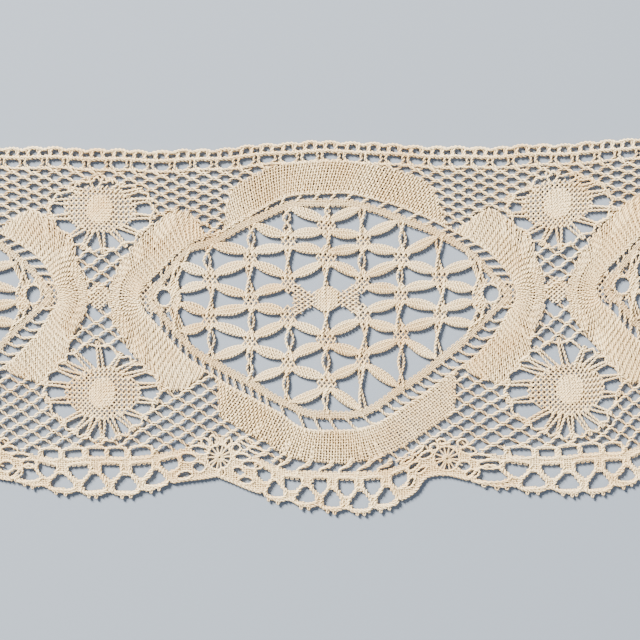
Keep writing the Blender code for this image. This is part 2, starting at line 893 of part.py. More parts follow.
def remove_everything():
    for thing in list(bpy.data.objects):
        bpy.data.objects.remove(thing)


def thread_material():
    material = bpy.data.materials.new("cotton thread")
    material.use_nodes = True
    shader = material.node_tree.nodes["Principled BSDF"]
    shader.inputs["Base Color"].default_value = (0.81, 0.69, 0.5, 1.0)
    shader.inputs["Roughness"].default_value = 0.85
    shader.inputs["Metallic"].default_value = 0.0
    return material


def add_loop(curve, outline):
    """One closed loop of the flat figure, in metres."""
    spline = curve.splines.new("POLY")
    spline.points.add(len(outline) - 1)
    for point, (along, across) in zip(spline.points, outline):
        point.co = (along * MM, across * MM, 0.0, 1.0)
    spline.use_cyclic_u = True


def make_lace():
    """The flat figure, filled between its loops, thickened, and set over its own middle."""
    curve = bpy.data.curves.new("lace", "CURVE")
    curve.dimensions = "2D"
    curve.fill_mode = "BOTH"
    curve.extrude = THICKNESS / 2 * MM
    outline = sheet_outline()
    levels = [across for along, across in outline]
    middle = (min(levels) + max(levels)) / 2
    add_loop(curve, shifted(outline, 0.0, -middle))
    for gap in all_gaps():
        add_loop(curve, shifted(gap, 0.0, -middle))
    curve.materials.append(thread_material())
    lace = bpy.data.objects.new("lace", curve)
    lace.location = (0.0, 0.0, THICKNESS / 2 * MM)
    bpy.context.scene.collection.objects.link(lace)


remove_everything()
make_lace()
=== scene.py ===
import math
import random
from collections import namedtuple

import bpy
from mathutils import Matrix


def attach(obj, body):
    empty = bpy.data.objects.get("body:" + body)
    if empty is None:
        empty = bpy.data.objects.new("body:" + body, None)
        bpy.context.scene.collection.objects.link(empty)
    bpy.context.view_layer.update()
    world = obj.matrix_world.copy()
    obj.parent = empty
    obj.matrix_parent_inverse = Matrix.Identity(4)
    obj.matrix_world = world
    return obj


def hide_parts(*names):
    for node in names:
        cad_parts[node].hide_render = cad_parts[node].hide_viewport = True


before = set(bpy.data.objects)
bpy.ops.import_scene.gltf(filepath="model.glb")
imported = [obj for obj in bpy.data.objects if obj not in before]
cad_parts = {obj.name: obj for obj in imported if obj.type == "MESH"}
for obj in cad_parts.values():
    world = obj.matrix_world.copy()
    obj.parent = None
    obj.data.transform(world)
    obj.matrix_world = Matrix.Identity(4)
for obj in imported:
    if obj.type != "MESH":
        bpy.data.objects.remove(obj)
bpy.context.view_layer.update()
print("frame loaded")

# The lace is drawn thread by thread on its pricking. Places on it are in millimetres from the
# middle of the oval medallion: "along" runs with the edging, "across" up to the footside.
mm = 0.001                    # one millimetre in metres
perMetre = 1000.0
lace = {
    "repeat": 119.0,          # from one oval to the next
    "length": 178.5,          # the cut piece, one and a half repeats
    "crossing": -59.3,        # where the trails of two ovals touch
    "middleAcross": -6.6775,  # the line of the pricking that lies on the part's X axis
    "level": 0.55,            # height of the layer of threads over the table
    "thread": 0.215,          # radius of the cotton
    "sides": 4,               # faces round a thread
    "tones": (0.3, 0.7),      # how pale a thread may be, from 0 to 1
    "endRoom": 0.35,          # threads stop this far inside the cut ends
    "seed": 11,
}
rng = random.Random(lace["seed"])
ovals = (-lace["repeat"], 0.0, lace["repeat"])
crossings = (lace["crossing"], lace["crossing"] + lace["repeat"])

# How far the hand-worked piece strays from its pricking.
unevenness = {
    "lift": 4.2,           # its right end lies higher,
    "liftFrom": 40.0,
    "liftPower": 1.3,
    "liftFade": 0.65,      # and less so towards the headside
    "fadeFrom": -5.0,
    "fadeOver": 40.0,
    "drift": 2.6,          # the ground under the right crossing is drawn sideways
    "driftFrom": -3.0,
    "driftOver": 20.0,
    "driftAt": 61.5,
    "driftHalf": 21.5,
    "lowDrift": 4.1,       # and the headside below it more so
    "lowFrom": -31.0,
    "lowOver": 9.0,
    "wobble": 0.16,        # slow waves over the whole piece
    "wobbleAlong": 0.35,   # radians a millimetre
    "wobbleAcross": 0.21,
    "swayAlong": 0.4,
    "swayAcross": 0.27,
}


def clamp(value, low, high):
    return max(low, min(high, value))


def smoothStep(share):
    share = clamp(share, 0.0, 1.0)
    return share * share * (3.0 - 2.0 * share)


def mix(a, b, share):
    return a + (b - a) * share


def mixPlace(a, b, share):
    return tuple(mix(p, q, share) for p, q in zip(a, b))


def worked(along, across):
    # a place of the pricking in the finished lace
    u = unevenness
    share = max(0.0, (along - u["liftFrom"]) / (lace["length"] / 2 - u["liftFrom"]))
    fade = 1.0 - u["liftFade"] * clamp((u["fadeFrom"] - across) / u["fadeOver"], 0.0, 1.0)
    lift = u["lift"] * share ** u["liftPower"] * fade
    apart = ((along - u["driftAt"]) / u["driftHalf"]) ** 2
    near = max(0.0, 1.0 - apart)
    drift = u["drift"] * near * near * clamp((u["driftFrom"] - across) / u["driftOver"], 0.0, 1.0)
    lowDrift = u["lowDrift"] * near * (1.0 + apart)
    drift += (lowDrift - drift) * clamp((u["lowFrom"] - across) / u["lowOver"], 0.0, 1.0)
    wobble = u["wobble"] * math.sin(u["wobbleAlong"] * along + u["wobbleAcross"] * across)
    sway = u["wobble"] * math.sin(u["swayAcross"] * across - u["swayAlong"] * along + 1.0)
    return along + drift + sway, across + lift + wobble


def smoothRows(rows, steps=3, closed=False):
    # a smooth line through every row, with some steps from each row to the next
    count = len(rows)
    result = []
    for span in range(count if closed else count - 1):
        if closed:
            near = [rows[(span + shift) % count] for shift in (-1, 0, 1, 2)]
        else:
            near = [rows[clamp(span + shift, 0, count - 1)] for shift in (-1, 0, 1, 2)]
        for step in range(steps):
            t = step / steps
            eased = []
            for a, b, c, d in zip(*near):
                bend = (3 * b - a - 3 * c + d) * t ** 3 + (2 * a - 5 * b + 4 * c - d) * t ** 2
                eased.append(0.5 * (bend + (c - a) * t) + b)
            result.append(tuple(eased))
    if not closed:
        result.append(tuple(rows[-1]))
    return result


def heightAt(rows, along):
    # the place across of a line, at a place along it
    for low, high in zip(rows, rows[1:]):
        if low[0] <= along <= high[0]:
            return mix(low[1], high[1], (along - low[0]) / (high[0] - low[0]))
    return rows[0][1] if along < rows[0][0] else rows[-1][1]


def inside(outline, along, across):
    found = False
    for (x1, y1), (x2, y2) in zip(outline, outline[1:] + outline[:1]):
        if (y1 > across) != (y2 > across) and along < x1 + (across - y1) * (x2 - x1) / (y2 - y1):
            found = not found
    return found


def shifted(outline, along):
    return [(x + along, y) for x, y in outline]


def lozenge(along, across, halfWidth, halfHeight):
    shoulder = 0.4 * halfWidth
    return [
        (along - halfWidth, across),
        (along - shoulder, across + halfHeight),
        (along + shoulder, across + halfHeight),
        (along + halfWidth, across),
        (along + shoulder, across - halfHeight),
        (along - shoulder, across - halfHeight),
    ]


def ellipse(along, across, halfWidth, halfHeight, power=2.0):
    def region(x, y):
        return abs((x - along) / halfWidth) ** power + abs((y - across) / halfHeight) ** power < 1.0
    return region


def boxOf(along, across, halfWidth, halfHeight):
    return along - halfWidth, across - halfHeight, along + halfWidth, across + halfHeight


# Threads. Each one is a run of places (along, across, height) and a thickness. Every piece
# gathers its threads in a list, and one Geometry Nodes tree spins them into round cotton.

Thread = namedtuple("Thread", "places thick")


def addThread(threads, places, thick=1.0):
    if len(places) > 1:
        threads.append(Thread([(p[0], p[1], p[2] if len(p) > 2 else 0.0) for p in places], thick))


def moved(threads, along):
    return [Thread([(x + along, y, z) for x, y, z in t.places], t.thick) for t in threads]


def evenly(path, step):
    # a path laid out again in even steps
    sizes = [math.dist(a[:2], b[:2]) for a, b in zip(path, path[1:])]
    total = sum(sizes)
    count = max(2, round(total / step))
    result = []
    span = 0
    before = 0.0
    for index in range(count + 1):
        target = total * index / count
        while span < len(sizes) - 1 and before + sizes[span] < target:
            before += sizes[span]
            span += 1
        share = (target - before) / sizes[span] if sizes[span] > 0 else 0.0
        result.append(mixPlace(path[span], path[span + 1], share))
    return result


pairLook = {
    "turn": 2.1,    # length of one twist
    "half": 0.27,   # from the pair's middle line to a thread
    "rise": 0.17,
    "step": 0.5,
}


def addPair(threads, path, height=0.0, spread=1.0):
    # two threads twisted about each other along a path
    line = evenly(path, pairLook["step"])
    first = []
    second = []
    start = rng.uniform(0.0, math.tau)
    travelled = 0.0
    for index, place in enumerate(line):
        before = line[max(index - 1, 0)]
        after = line[min(index + 1, len(line) - 1)]
        run = after[0] - before[0]
        rise = after[1] - before[1]
        size = math.hypot(run, rise) or 1.0
        travelled += math.dist(place[:2], before[:2])
        phase = start + math.tau * travelled / pairLook["turn"]
        side = pairLook["half"] * spread * math.cos(phase)
        up = pairLook["rise"] * math.sin(phase)
        level = height + (place[2] if len(place) > 2 else 0.0)
        first.append((place[0] - side * rise / size, place[1] + side * run / size, level + up))
        second.append((place[0] + side * rise / size, place[1] - side * run / size, level - up))
    addThread(threads, first)
    addThread(threads, second)


# A weave: two directions in degrees, the spacing of each family of threads, how far they rise
# and sink, their thickness, and how far they run on beyond the region they fill.
Weave = namedtuple("Weave", "angles pitches wave thick spill")


def addWeave(threads, region, box, weave):
    # two families of threads over and under each other wherever the region holds
    lowX, lowY, highX, highY = box
    middle = ((lowX + highX) / 2, (lowY + highY) / 2)
    reach = math.hypot(highX - lowX, highY - lowY) / 2
    turns = [math.radians(angle) for angle in weave.angles]
    spill = weave.spill
    for own, other, sign in ((0, 1, 1.0), (1, 0, -1.0)):
        run = (math.cos(turns[own]), math.sin(turns[own]))
        normal = (-run[1], run[0])
        pitch = weave.pitches[own]
        step = weave.pitches[other] / abs(math.sin(turns[other] - turns[own]))
        rows = int(reach / pitch) + 1
        beats = int(reach / step) + 1
        for row in range(-rows, rows + 1):
            current = []
            for beat in range(-beats, beats + 2):
                x = middle[0] + normal[0] * row * pitch + run[0] * beat * step
                y = middle[1] + normal[1] * row * pitch + run[1] * beat * step
                up = weave.wave * sign * (1 if (row + beat) % 2 else -1)
                if beat <= beats and region(x, y):
                    if not current:
                        current.append((x - run[0] * spill, y - run[1] * spill, 0.0))
                    current.append((x, y, up))
                elif current:
                    last = current[-1]
                    current.append((last[0] + run[0] * spill, last[1] + run[1] * spill, 0.0))
                    addThread(threads, current, weave.thick)
                    current = []


clothStitch = {
    "leanTurn": 1.6,   # how suddenly rows change from the first lean to the last
    "turnOut": 0.45,   # how far the worker turns out beyond the outermost passive
    "edge": 0.1,       # least cloth beside a passive
    "under": 0.6,      # rise of a passive as a share of the worker's
    "sink": 0.06,
    "fanOut": 1.35,    # rows that lie this many spacings apart get a short one between them
}


def addCloth(threads, stations, look, leans=(0.0, 0.0)):
    # cloth stitch: passives run with the band, and one worker snakes across them in rows that
    # lean as given at the band's start and end. A station is (x, y, normal x, normal y, width)
    # on the inner edge of the band.
    stitch = clothStitch
    middles = [(s[0] + s[2] * s[4] / 2, s[1] + s[3] * s[4] / 2) for s in stations]
    sizes = [0.0]
    for a, b in zip(middles, middles[1:]):
        sizes.append(sizes[-1] + math.dist(a, b))
    total = sizes[-1]
    widest = max(s[4] for s in stations)

    def reached(travelled, depth):
        lean = mix(*leans, smoothStep(0.5 + stitch["leanTurn"] * (travelled / total - 0.5)))
        return travelled + lean * (depth - widest / 2)

    def stationAt(travelled):
        travelled = clamp(travelled, 0.0, total)
        low = 0
        high = len(sizes) - 1
        while high - low > 1:
            half = (low + high) // 2
            if sizes[half] <= travelled:
                low = half
            else:
                high = half
        share = (travelled - sizes[low]) / (sizes[high] - sizes[low] or 1.0)
        return [mix(a, b, share) for a, b in zip(stations[low], stations[high])]

    def placeAt(travelled, depth):
        x, y, outX, outY, width = stationAt(reached(travelled, depth))
        stray = look["stray"]
        x += outX * depth + rng.uniform(-stray, stray)
        y += outY * depth + rng.uniform(-stray, stray)
        return x, y

    def holds(here, depth):
        return 0.0 <= here <= total and depth < stationAt(here)[4] - stitch["edge"]

    most = max(1, round(widest / look["passives"]))
    depths = [(index + 0.5) * widest / most for index in range(most)]
    extra = max(abs(lean) for lean in leans) * widest / 2
    rows = int((total + 2 * extra) / look["rows"])
    worker = []
    runs = [[] for depth in depths]
    for row in range(rows + 1):
        travelled = row * look["rows"] - extra
        crossed = []
        covers = []
        for index, depth in enumerate(depths):
            up = look["wave"] * (1 if (row + index) % 2 else -1)
            if holds(reached(travelled, depth), depth):
                place = placeAt(travelled, depth)
                crossed.append((*place, up))
                covers.append(depth)
                runs[index].append((*place, -stitch["under"] * up - stitch["sink"]))
            elif runs[index]:
                addThread(threads, runs[index], look["passiveThick"])
                runs[index] = []
        if crossed:
            first = placeAt(travelled, covers[0] - stitch["turnOut"])
            last = placeAt(travelled, covers[-1] + stitch["turnOut"])
            crossed = [(*first, 0.0)] + crossed + [(*last, 0.0)]
            worker += crossed if row % 2 else crossed[::-1]
        fan = math.dist(placeAt(travelled, widest), placeAt(travelled + look["rows"], widest))
        if fan > stitch["fanOut"] * look["rows"] and crossed:
            # where rows fan out round a bend, a short one fills in between them
            between = travelled + look["rows"] / 2
            short = []
            for index, depth in enumerate(depths[most // 2:]):
                if holds(reached(between, depth), depth):
                    up = look["wave"] * (1 if (row + index) % 2 else -1)
                    short.append((*placeAt(between, depth), up))
            addThread(threads, short, look["workerThick"])
    for run in runs:
        addThread(threads, run, look["passiveThick"])
    addThread(threads, worker, look["workerThick"])


# The oval ring, left to right: place, and reach of the crossing pairs to the cloth outside.
Ring = namedtuple("Ring", "along across reach")
ringUpper = (
    Ring(-45.8, 0.3, 3.1),
    Ring(-41.9, 5.7, 2.6),
    Ring(-36.1, 12.5, 1.4),
    Ring(-31.7, 14.3, 2.0),
    Ring(-26.3, 16.4, 1.4),
    Ring(-21.1, 19.5, 1.6),
    Ring(-14.6, 22.4, 2.3),
    Ring(-6.8, 24.8, 2.6),
    Ring(3.6, 25.0, 2.7),
    Ring(10.9, 23.7, 2.9),
    Ring(19.2, 21.1, 3.1),
    Ring(28.6, 17.2, 2.6),
    Ring(35.6, 13.3, 3.1),
    Ring(40.6, 9.1, 3.9),
    Ring(44.5, 4.7, 3.6),
    Ring(47.3, 0.5, 2.6),
)
ringLower = (
    Ring(-41.9, -4.9, 3.1),
    Ring(-35.9, -12.0, 2.9),
    Ring(-27.3, -17.7, 3.1),
    Ring(-21.1, -21.1, 3.4),
    Ring(-14.6, -25.2, 3.1),
    Ring(-9.9, -27.3, 3.4),
    Ring(-5.5, -29.4, 4.4),
    Ring(1.0, -30.2, 4.2),
    Ring(6.8, -30.2, 4.2),
    Ring(12.0, -28.3, 4.4),
    Ring(19.2, -23.7, 4.7),
    Ring(27.6, -17.7, 4.4),
    Ring(34.8, -11.7, 5.2),
    Ring(40.6, -6.0, 4.9),
    Ring(44.5, -2.3, 3.6),
)
ringSteps = 6


def ringSamples():
    rows = smoothRows(ringUpper + ringLower[::-1], ringSteps, closed=True)
    samples = []
    for index, row in enumerate(rows):
        before = rows[index - 1]
        after = rows[(index + 1) % len(rows)]
        run = after[0] - before[0]
        rise = after[1] - before[1]
        size = math.hypot(run, rise)
        samples.append((row[0], row[1], -rise / size, run / size, row[2]))
    return samples


ring = ringSamples()
ringTurn = ringSteps * (len(ringUpper) - 1)
upperRing = ring[:ringTurn + 1]
lowerRing = [ring[0]] + ring[:ringTurn - 1:-1]


def ringAt(upper, along):
    samples = upperRing if upper else lowerRing
    for low, high in zip(samples, samples[1:]):
        if low[0] <= along <= high[0]:
            share = (along - low[0]) / (high[0] - low[0])
            return tuple(mix(a, b, share) for a, b in zip(low, high))
    return samples[0] if along < samples[0][0] else samples[-1]


def beside(sample, distance):
    return sample[0] + distance * sample[2], sample[1] + distance * sample[3]


# Cloth trails outside the ring. Two arches lie over and under the oval, and a side band bends
# round each end of it. An arm runs from where the cloth begins to where it has its full width.
# A trail's rows lean, in millimetres along for each one across, at its first and last end, and
# a side band is narrower at its waist.
Arm = namedtuple("Arm", "upper tip full")
Trail = namedtuple("Trail", "first last width leans waist")
waistAcross = 1.0
waistOver = 6.0
trails = (
    Trail(Arm(True, -27.0, -19.0), Arm(True, 30.8, 22.5), 8.3, (0.27, 0.27), 0.0),
    Trail(Arm(False, -27.5, -21.5), Arm(False, 31.5, 25.5), 8.0, (-0.1, 0.1), 0.0),
    Trail(Arm(True, -29.5, -35.0), Arm(False, -28.6, -33.0), 9.1, (-1.2, 1.1), 1.2),
    Trail(Arm(True, 32.0, 36.0), Arm(False, 31.2, 35.6), 9.1, (-1.0, 1.0), 1.3),
)


def armShare(arm, sample):
    return smoothStep((sample[0] - arm.tip) / (arm.full - arm.tip))


def trailStations(trail):
    first = trail.first
    last = trail.last
    if first.upper == last.upper:
        samples = upperRing if first.upper else lowerRing
        chosen = [s for s in samples if first.tip <= s[0] <= last.tip]
        shares = [min(armShare(first, s), armShare(last, s)) for s in chosen]
    else:
        outward = first.full - first.tip
        above = [s for s in upperRing if (s[0] - first.tip) * outward > 0.0]
        below = [s for s in lowerRing if (s[0] - first.tip) * outward > 0.0]
        if outward < 0.0:
            above.reverse()
        else:
            below.reverse()
        shares = [armShare(first, s) for s in above] + [armShare(last, s) for s in below]
        chosen = above + below
    stations = []
    for s, share in zip(chosen, shares):
        waist = trail.waist * (1.0 - smoothStep(abs(s[1] - waistAcross) / waistOver))
        stations.append((*beside(s, s[4]), s[2], s[3], trail.width * share - waist))
    return stations


def trailOutline(trail, margin):
    stations = trailStations(trail)
    inner = [beside(s, -margin) for s in stations]
    outer = [beside(s, s[4] + margin) for s in stations]
    return outer + inner[::-1]


# Woven knots inside the oval, in columns from left to right, top to bottom in each.
Column = namedtuple("Column", "along halfWidth knots")
columns = (
    Column(-38.7, 1.3, (0.5,)),
    Column(-30.2, 2.1, (5.2, -5.2)),
    Column(-19.6, 2.1, (10.7, -0.3, -10.9)),
    Column(-9.8, 2.1, (15.1, 4.7, -4.9, -16.4)),
    Column(0.1, 2.2, (19.2, 10.7, 0.0, -10.4, -22.1)),
    Column(9.6, 2.1, (15.1, 4.7, -4.4, -15.6)),
    Column(19.5, 2.1, (10.7, 0.8, -9.1)),
    Column(29.6, 2.1, (5.7, -3.9)),
    Column(39.3, 1.3, (0.8,)),
)
middleColumn = 4


def columnStops(column):
    along = columns[column].along
    return [ringAt(True, along)[1], *columns[column].knots, ringAt(False, along)[1]]


# Round openings at the two ends of the oval.
EndOpening = namedtuple("EndOpening", "along across halfWidth halfHeight")
endOpenings = (
    EndOpening(-42.05, 0.5, 2.0, 2.15),
    EndOpening(42.9, 1.3, 2.05, 2.3),
)

# Woven spiders, placed from a crossing: each leg's direction in degrees and its reach.
Leg = namedtuple("Leg", "turn reach")
Spider = namedtuple("Spider", "along across halfWidth halfHeight legs")
upperLegs = (
    Leg(9, 13.4),
    Leg(24, 11.8),
    Leg(46, 9.0),
    Leg(84, 8.0),
    Leg(108, 8.4),
    Leg(147, 9.4),
    Leg(171, 13.0),
    Leg(189, 13.0),
    Leg(221, 11.2),
    Leg(246, 11.0),
    Leg(274, 11.4),
    Leg(305, 11.6),
    Leg(329, 12.6),
    Leg(351, 14.4),
)
lowerLegs = (
    Leg(9, 15.4),
    Leg(27, 13.4),
    Leg(43, 12.0),
    Leg(64, 11.3),
    Leg(96, 13.0),
    Leg(124, 13.4),
    Leg(140, 13.2),
    Leg(152, 14.0),
    Leg(171, 15.2),
    Leg(189, 14.6),
    Leg(216, 13.4),
    Leg(235, 12.8),
    Leg(250, 12.6),
    Leg(269, 12.4),
    Leg(291, 12.4),
    Leg(311, 12.6),
    Leg(330, 13.2),
    Leg(351, 14.4),
)
spiders = (
    Spider(0.5, 23.4, 9.4, 6.2, upperLegs),
    Spider(1.2, -24.4, 9.9, 6.8, lowerLegs),
)
spiderFullness = 1.8


def spiderBody(spider, turn):
    # how far the woven body reaches in one direction
    wide = abs(math.cos(turn) / spider.halfWidth) ** spiderFullness
    tall = abs(math.sin(turn) / spider.halfHeight) ** spiderFullness
    return (wide + tall) ** (-1.0 / spiderFullness)


def spiderFeet(spider):
    feet = []
    for leg in spider.legs:
        turn = math.radians(leg.turn)
        feet.append((spider.along + leg.reach * math.cos(turn), spider.across + leg.reach * math.sin(turn)))
    return feet


# Nets of crossed pairs, placed from a crossing: half pitches of the meshes, the band across the
# lace they fill, and how far they reach to both sides.
Net = namedtuple("Net", "along across step rise lowest highest reach")
upperNet = Net(0.7, 8.8, 2.95, 1.88, 1.0, 19.4, 24.0)
lowerNet = Net(-0.4, -8.1, 2.86, 1.95, -20.0, -3.0, 24.0)
headNet = Net(-20.2, -34.3, 2.9, 1.78, -42.0, -20.0, 60.0)
netHalf = 60.0    # a little over half a repeat, where the next crossing's net takes over

# The fine net under the footside has the spacing of the pin humps.
footNet = {
    "rise": 1.25,
    "lowest": 19.4,
    "rows": 15,
    "roofRoom": 0.2,
}

# Rosettes at both ends of the middle scallop, placed from the oval.
Rosette = namedtuple("Rosette", "along across radius")
rosettes = (
    Rosette(-27.8, -41.2, 3.3),
    Rosette(31.4, -41.6, 3.3),
)

# Small openings in the headside, between its fans and the rosettes; placed from the oval, each
# turned by some degrees.
Eye = namedtuple("Eye", "along across halfWidth halfHeight tilt")
headEyes = (
    Eye(-36.7, -45.9, 1.9, 0.8, 18.0),
    Eye(-35.9, -41.2, 2.3, 1.0, 0.0),
    Eye(-33.1, -43.5, 1.5, 1.05, 0.0),
    Eye(-32.8, -39.2, 2.3, 0.8, -12.0),
    Eye(-31.2, -37.3, 1.2, 0.5, -50.0),
    Eye(-29.1, -37.0, 1.3, 0.5, -65.0),
    Eye(-25.5, -37.5, 1.1, 0.5, 75.0),
    Eye(-26.9, -45.1, 0.6, 0.8, 0.0),
    Eye(-23.3, -38.9, 1.0, 0.85, 0.0),
    Eye(-22.5, -45.0, 1.5, 0.8, -25.0),
    Eye(-21.8, -41.2, 2.0, 0.7, 0.0),
    Eye(-20.8, -47.3, 1.7, 0.7, -5.0),
    Eye(-20.3, -37.1, 2.3, 0.6, -22.0),
    Eye(-19.1, -43.1, 2.4, 0.8, -4.0),
    Eye(-17.7, -39.4, 2.2, 0.5, -20.0),
    Eye(21.0, -41.9, 1.6, 0.35, 26.0),
    Eye(22.2, -47.5, 1.5, 0.5, 62.0),
    Eye(22.7, -43.4, 1.8, 0.6, 32.0),
    Eye(23.8, -39.5, 1.6, 0.35, 32.0),
    Eye(24.9, -44.4, 1.4, 0.4, 32.0),
    Eye(26.2, -40.7, 1.7, 0.6, 22.0),
    Eye(28.3, -38.7, 0.8, 0.55, 0.0),
    Eye(30.2, -37.2, 0.9, 0.45, 0.0),
    Eye(35.4, -37.4, 1.1, 0.75, 0.0),
    Eye(36.9, -39.3, 2.0, 0.65, -8.0),
    Eye(35.9, -43.4, 1.8, 1.1, 0.0),
    Eye(38.1, -45.3, 1.7, 0.8, 15.0),
    Eye(39.6, -41.1, 2.2, 0.6, -4.0),
    Eye(41.8, -42.9, 2.0, 0.8, 0.0),
)

# The footside's top edge without its humps, over one repeat.
topLine = smoothRows((
    (-59.5, 38.6),
    (-43.0, 38.2),
    (-30.0, 38.6),
    (-20.0, 39.4),
    (-9.0, 40.4),
    (7.0, 40.5),
    (19.0, 39.7),
    (36.0, 39.1),
    (50.0, 39.0),
    (59.5, 38.6),
), 4)
footside = {
    "pitch": 5.52,         # from one pin hump to the next
    "start": 1.3,
    "hump": 0.65,
    "humpFullness": 0.8,   # lower for rounder humps
    "midLine": 2.95,       # depth of the passives between the two rows of eyes
    "netTop": 5.5,         # depth where the net begins
    "step": 0.46,
    "sway": 0.12,
    "swayWaves": 2.3,
}


def topEdge(along):
    half = lace["repeat"] / 2
    return heightAt(topLine, (along + half) % lace["repeat"] - half)


# The headside: a braid under the net, fans hanging from it, and an outer braid with picots.
# Side scallops lie from the crossing, the middle scallop from the oval.
sideBraid = smoothRows((
    (-28.2, -38.4),
    (-25.0, -39.6),
    (-19.8, -40.6),
    (-14.3, -41.8),
    (-10.4, -42.4),
    (0.0, -42.1),
    (10.4, -41.9),
    (16.4, -41.3),
    (21.0, -40.2),
    (25.0, -38.6),
    (30.7, -37.0),
), 4)
sideOuter = smoothRows((
    (-28.2, -45.4),
    (-21.6, -46.8),
    (-17.9, -47.8),
    (-12.5, -49.4),
    (-3.4, -50.2),
    (7.0, -50.6),
    (13.5, -49.1),
    (20.3, -47.3),
    (30.9, -45.4),
), 4)
middleBraid = smoothRows((
    (-27.0, -37.0),
    (-24.4, -38.9),
    (-19.8, -41.2),
    (-15.1, -43.5),
    (-10.9, -45.2),
    (-6.8, -45.9),
    (3.6, -45.9),
    (14.0, -45.9),
    (17.9, -44.7),
    (23.1, -42.2),
    (28.6, -39.0),
), 4)
middleOuter = smoothRows((
    (-28.4, -45.4),
    (-24.4, -47.1),
    (-20.8, -48.9),
    (-16.6, -50.4),
    (-13.5, -51.7),
    (-6.0, -53.2),
    (1.6, -54.6),
    (8.6, -54.9),
    (15.6, -53.9),
    (19.8, -51.9),
    (23.2, -49.5),
    (25.2, -46.6),
    (27.0, -45.5),
    (31.5, -45.2),
), 4)
headside = {
    "braidHalf": 0.85,
    "outerHalf": 0.7,
    "valleyFrom": 0.22,   # the outer edge rises between arches, from this share of the spacing
    "valleyOver": 0.28,
    "valleyRise": 0.9,
    "beforeBraid": 1.3,   # how far a scallop's cloth reaches beyond its braid
    "afterBraid": 1.6,
    "edgeRoom": 0.35,
    "eyeRoom": 2.0,
    "overStanding": 3.3,  # cloth over the braid where openings stand on it
    "besideStanding": 3.0,
    "boxUnder": 1.0,
    "boxOver": 4.0,
    "edgePairs": ((0.3, 0.04), (0.8, -0.04)),   # rise over the outer edge, and height
    "step": 0.5,
}
# How far the pairs that rim an opening lie outside it, their height and their spread.
Rim = namedtuple("Rim", "out height spread")
fanRim = Rim(0.5, 0.1, 1.0)
standingRim = Rim(0.45, 0.1, 1.0)
eyeRim = Rim(0.3, 0.1, 0.7)

Fan = namedtuple("Fan", "hanging arches spacing standing halfWidth low high")
sideFan = Fan(
    hanging=(-13.0, -4.8, 3.6, 11.3, 18.6),
    arches=(-18.2, -9.6, -1.1, 7.1, 15.1),
    spacing=7.9,
    standing=(-12.3, -6.2, -0.5, 5.0, 11.3),
    halfWidth=2.1,
    low=0.95,
    high=3.1,
)
middleFan = Fan(
    hanging=(-15.7, -8.5, -1.4, 5.5, 12.1, 19.0),
    arches=(-13.5, -5.5, 1.4, 8.8, 15.8),
    spacing=6.9,
    standing=(-8.6, -3.4, 2.0, 7.0, 12.0),
    halfWidth=2.0,
    low=0.95,
    high=2.7,
)
# Corners of those openings: a share of the room to the neighbour, and a share of the depth.
hangingShape = (
    (-0.58, 0.0),
    (0.58, 0.0),
    (0.64, 0.23),
    (0.46, 0.45),
    (0.0, 0.6),
    (-0.46, 0.45),
    (-0.64, 0.23),
)
archShape = (
    (-0.2, 0.4),
    (0.2, 0.4),
    (0.74, 0.78),
    (0.62, 1.02),
    (-0.62, 1.02),
    (-0.74, 0.78),
)


def roomBeside(place, others, spacing):
    left = min([spacing / 2] + [place - other for other in others if other < place])
    right = min([spacing / 2] + [other - place for other in others if other > place])
    return left, right


def fanOpenings(braid, outer, fan):
    # openings hanging from the braid with the arches between them, and those standing on it
    openings = []
    rows = ((fan.hanging, fan.arches, hangingShape), (fan.arches, fan.hanging, archShape))
    for middles, others, shape in rows:
        for middle in middles:
            left, right = roomBeside(middle, others, fan.spacing)
            top = heightAt(braid, middle) - headside["braidHalf"]
            depth = top - heightAt(outer, middle) - headside["outerHalf"]
            outline = []
            for share, drop in shape:
                place = middle + share * (left if share < 0.0 else right)
                atBraid = heightAt(braid, place) - headside["braidHalf"]
                outline.append((place, top - drop * depth if drop else atBraid))
            openings.append(outline)
    standing = []
    for middle in fan.standing:
        base = heightAt(braid, middle)
        left = middle - fan.halfWidth
        right = middle + fan.halfWidth
        low = base + fan.low
        high = base + fan.high
        standing.append([(left, low), (left, high), (right, high), (right, low)])
    return openings, standing


print("pricking laid out")

# Where the ground has no net: inside the ovals, on cloth, spiders, rosettes and openings.
Zone = namedtuple("Zone", "outline low high")


def zoneOf(outline):
    xs = [x for x, y in outline]
    ys = [y for x, y in outline]
    return Zone(outline, (min(xs), min(ys)), (max(xs), max(ys)))


ringInset = 0.1
trailMargin = 0.05
rosetteMargins = (0.6, 0.4)
ovalZones = [zoneOf([beside(s, s[4] - ringInset) for s in ring])]
ovalZones += [zoneOf(trailOutline(trail, trailMargin)) for trail in trails]
for rosette in rosettes:
    halves = [rosette.radius + margin for margin in rosetteMargins]
    ovalZones.append(zoneOf(lozenge(rosette.along, rosette.across, *halves)))
crossingZones = [zoneOf(spiderFeet(spider)) for spider in spiders]
ovalReach = 62.0        # how far those zones reach from an oval, and from a crossing
crossingReach = 20.0


def within(zones, x, y):
    for zone in zones:
        if zone.low[0] <= x <= zone.high[0] and zone.low[1] <= y <= zone.high[1]:
            if inside(zone.outline, x, y):
                return True
    return False


def covered(along, across):
    for centre in ovals:
        if abs(along - centre) < ovalReach and within(ovalZones, along - centre, across):
            return True
    for centre in crossings:
        if abs(along - centre) < crossingReach and within(crossingZones, along - centre, across):
            return True
    return False


def edgeBetween(free, full, test):
    # the last free place on the way from a free place to a covered one
    for halving in range(5):
        half = tuple((a + b) / 2 for a, b in zip(free, full))
        if test(*half):
            full = half
        else:
            free = half
    return free


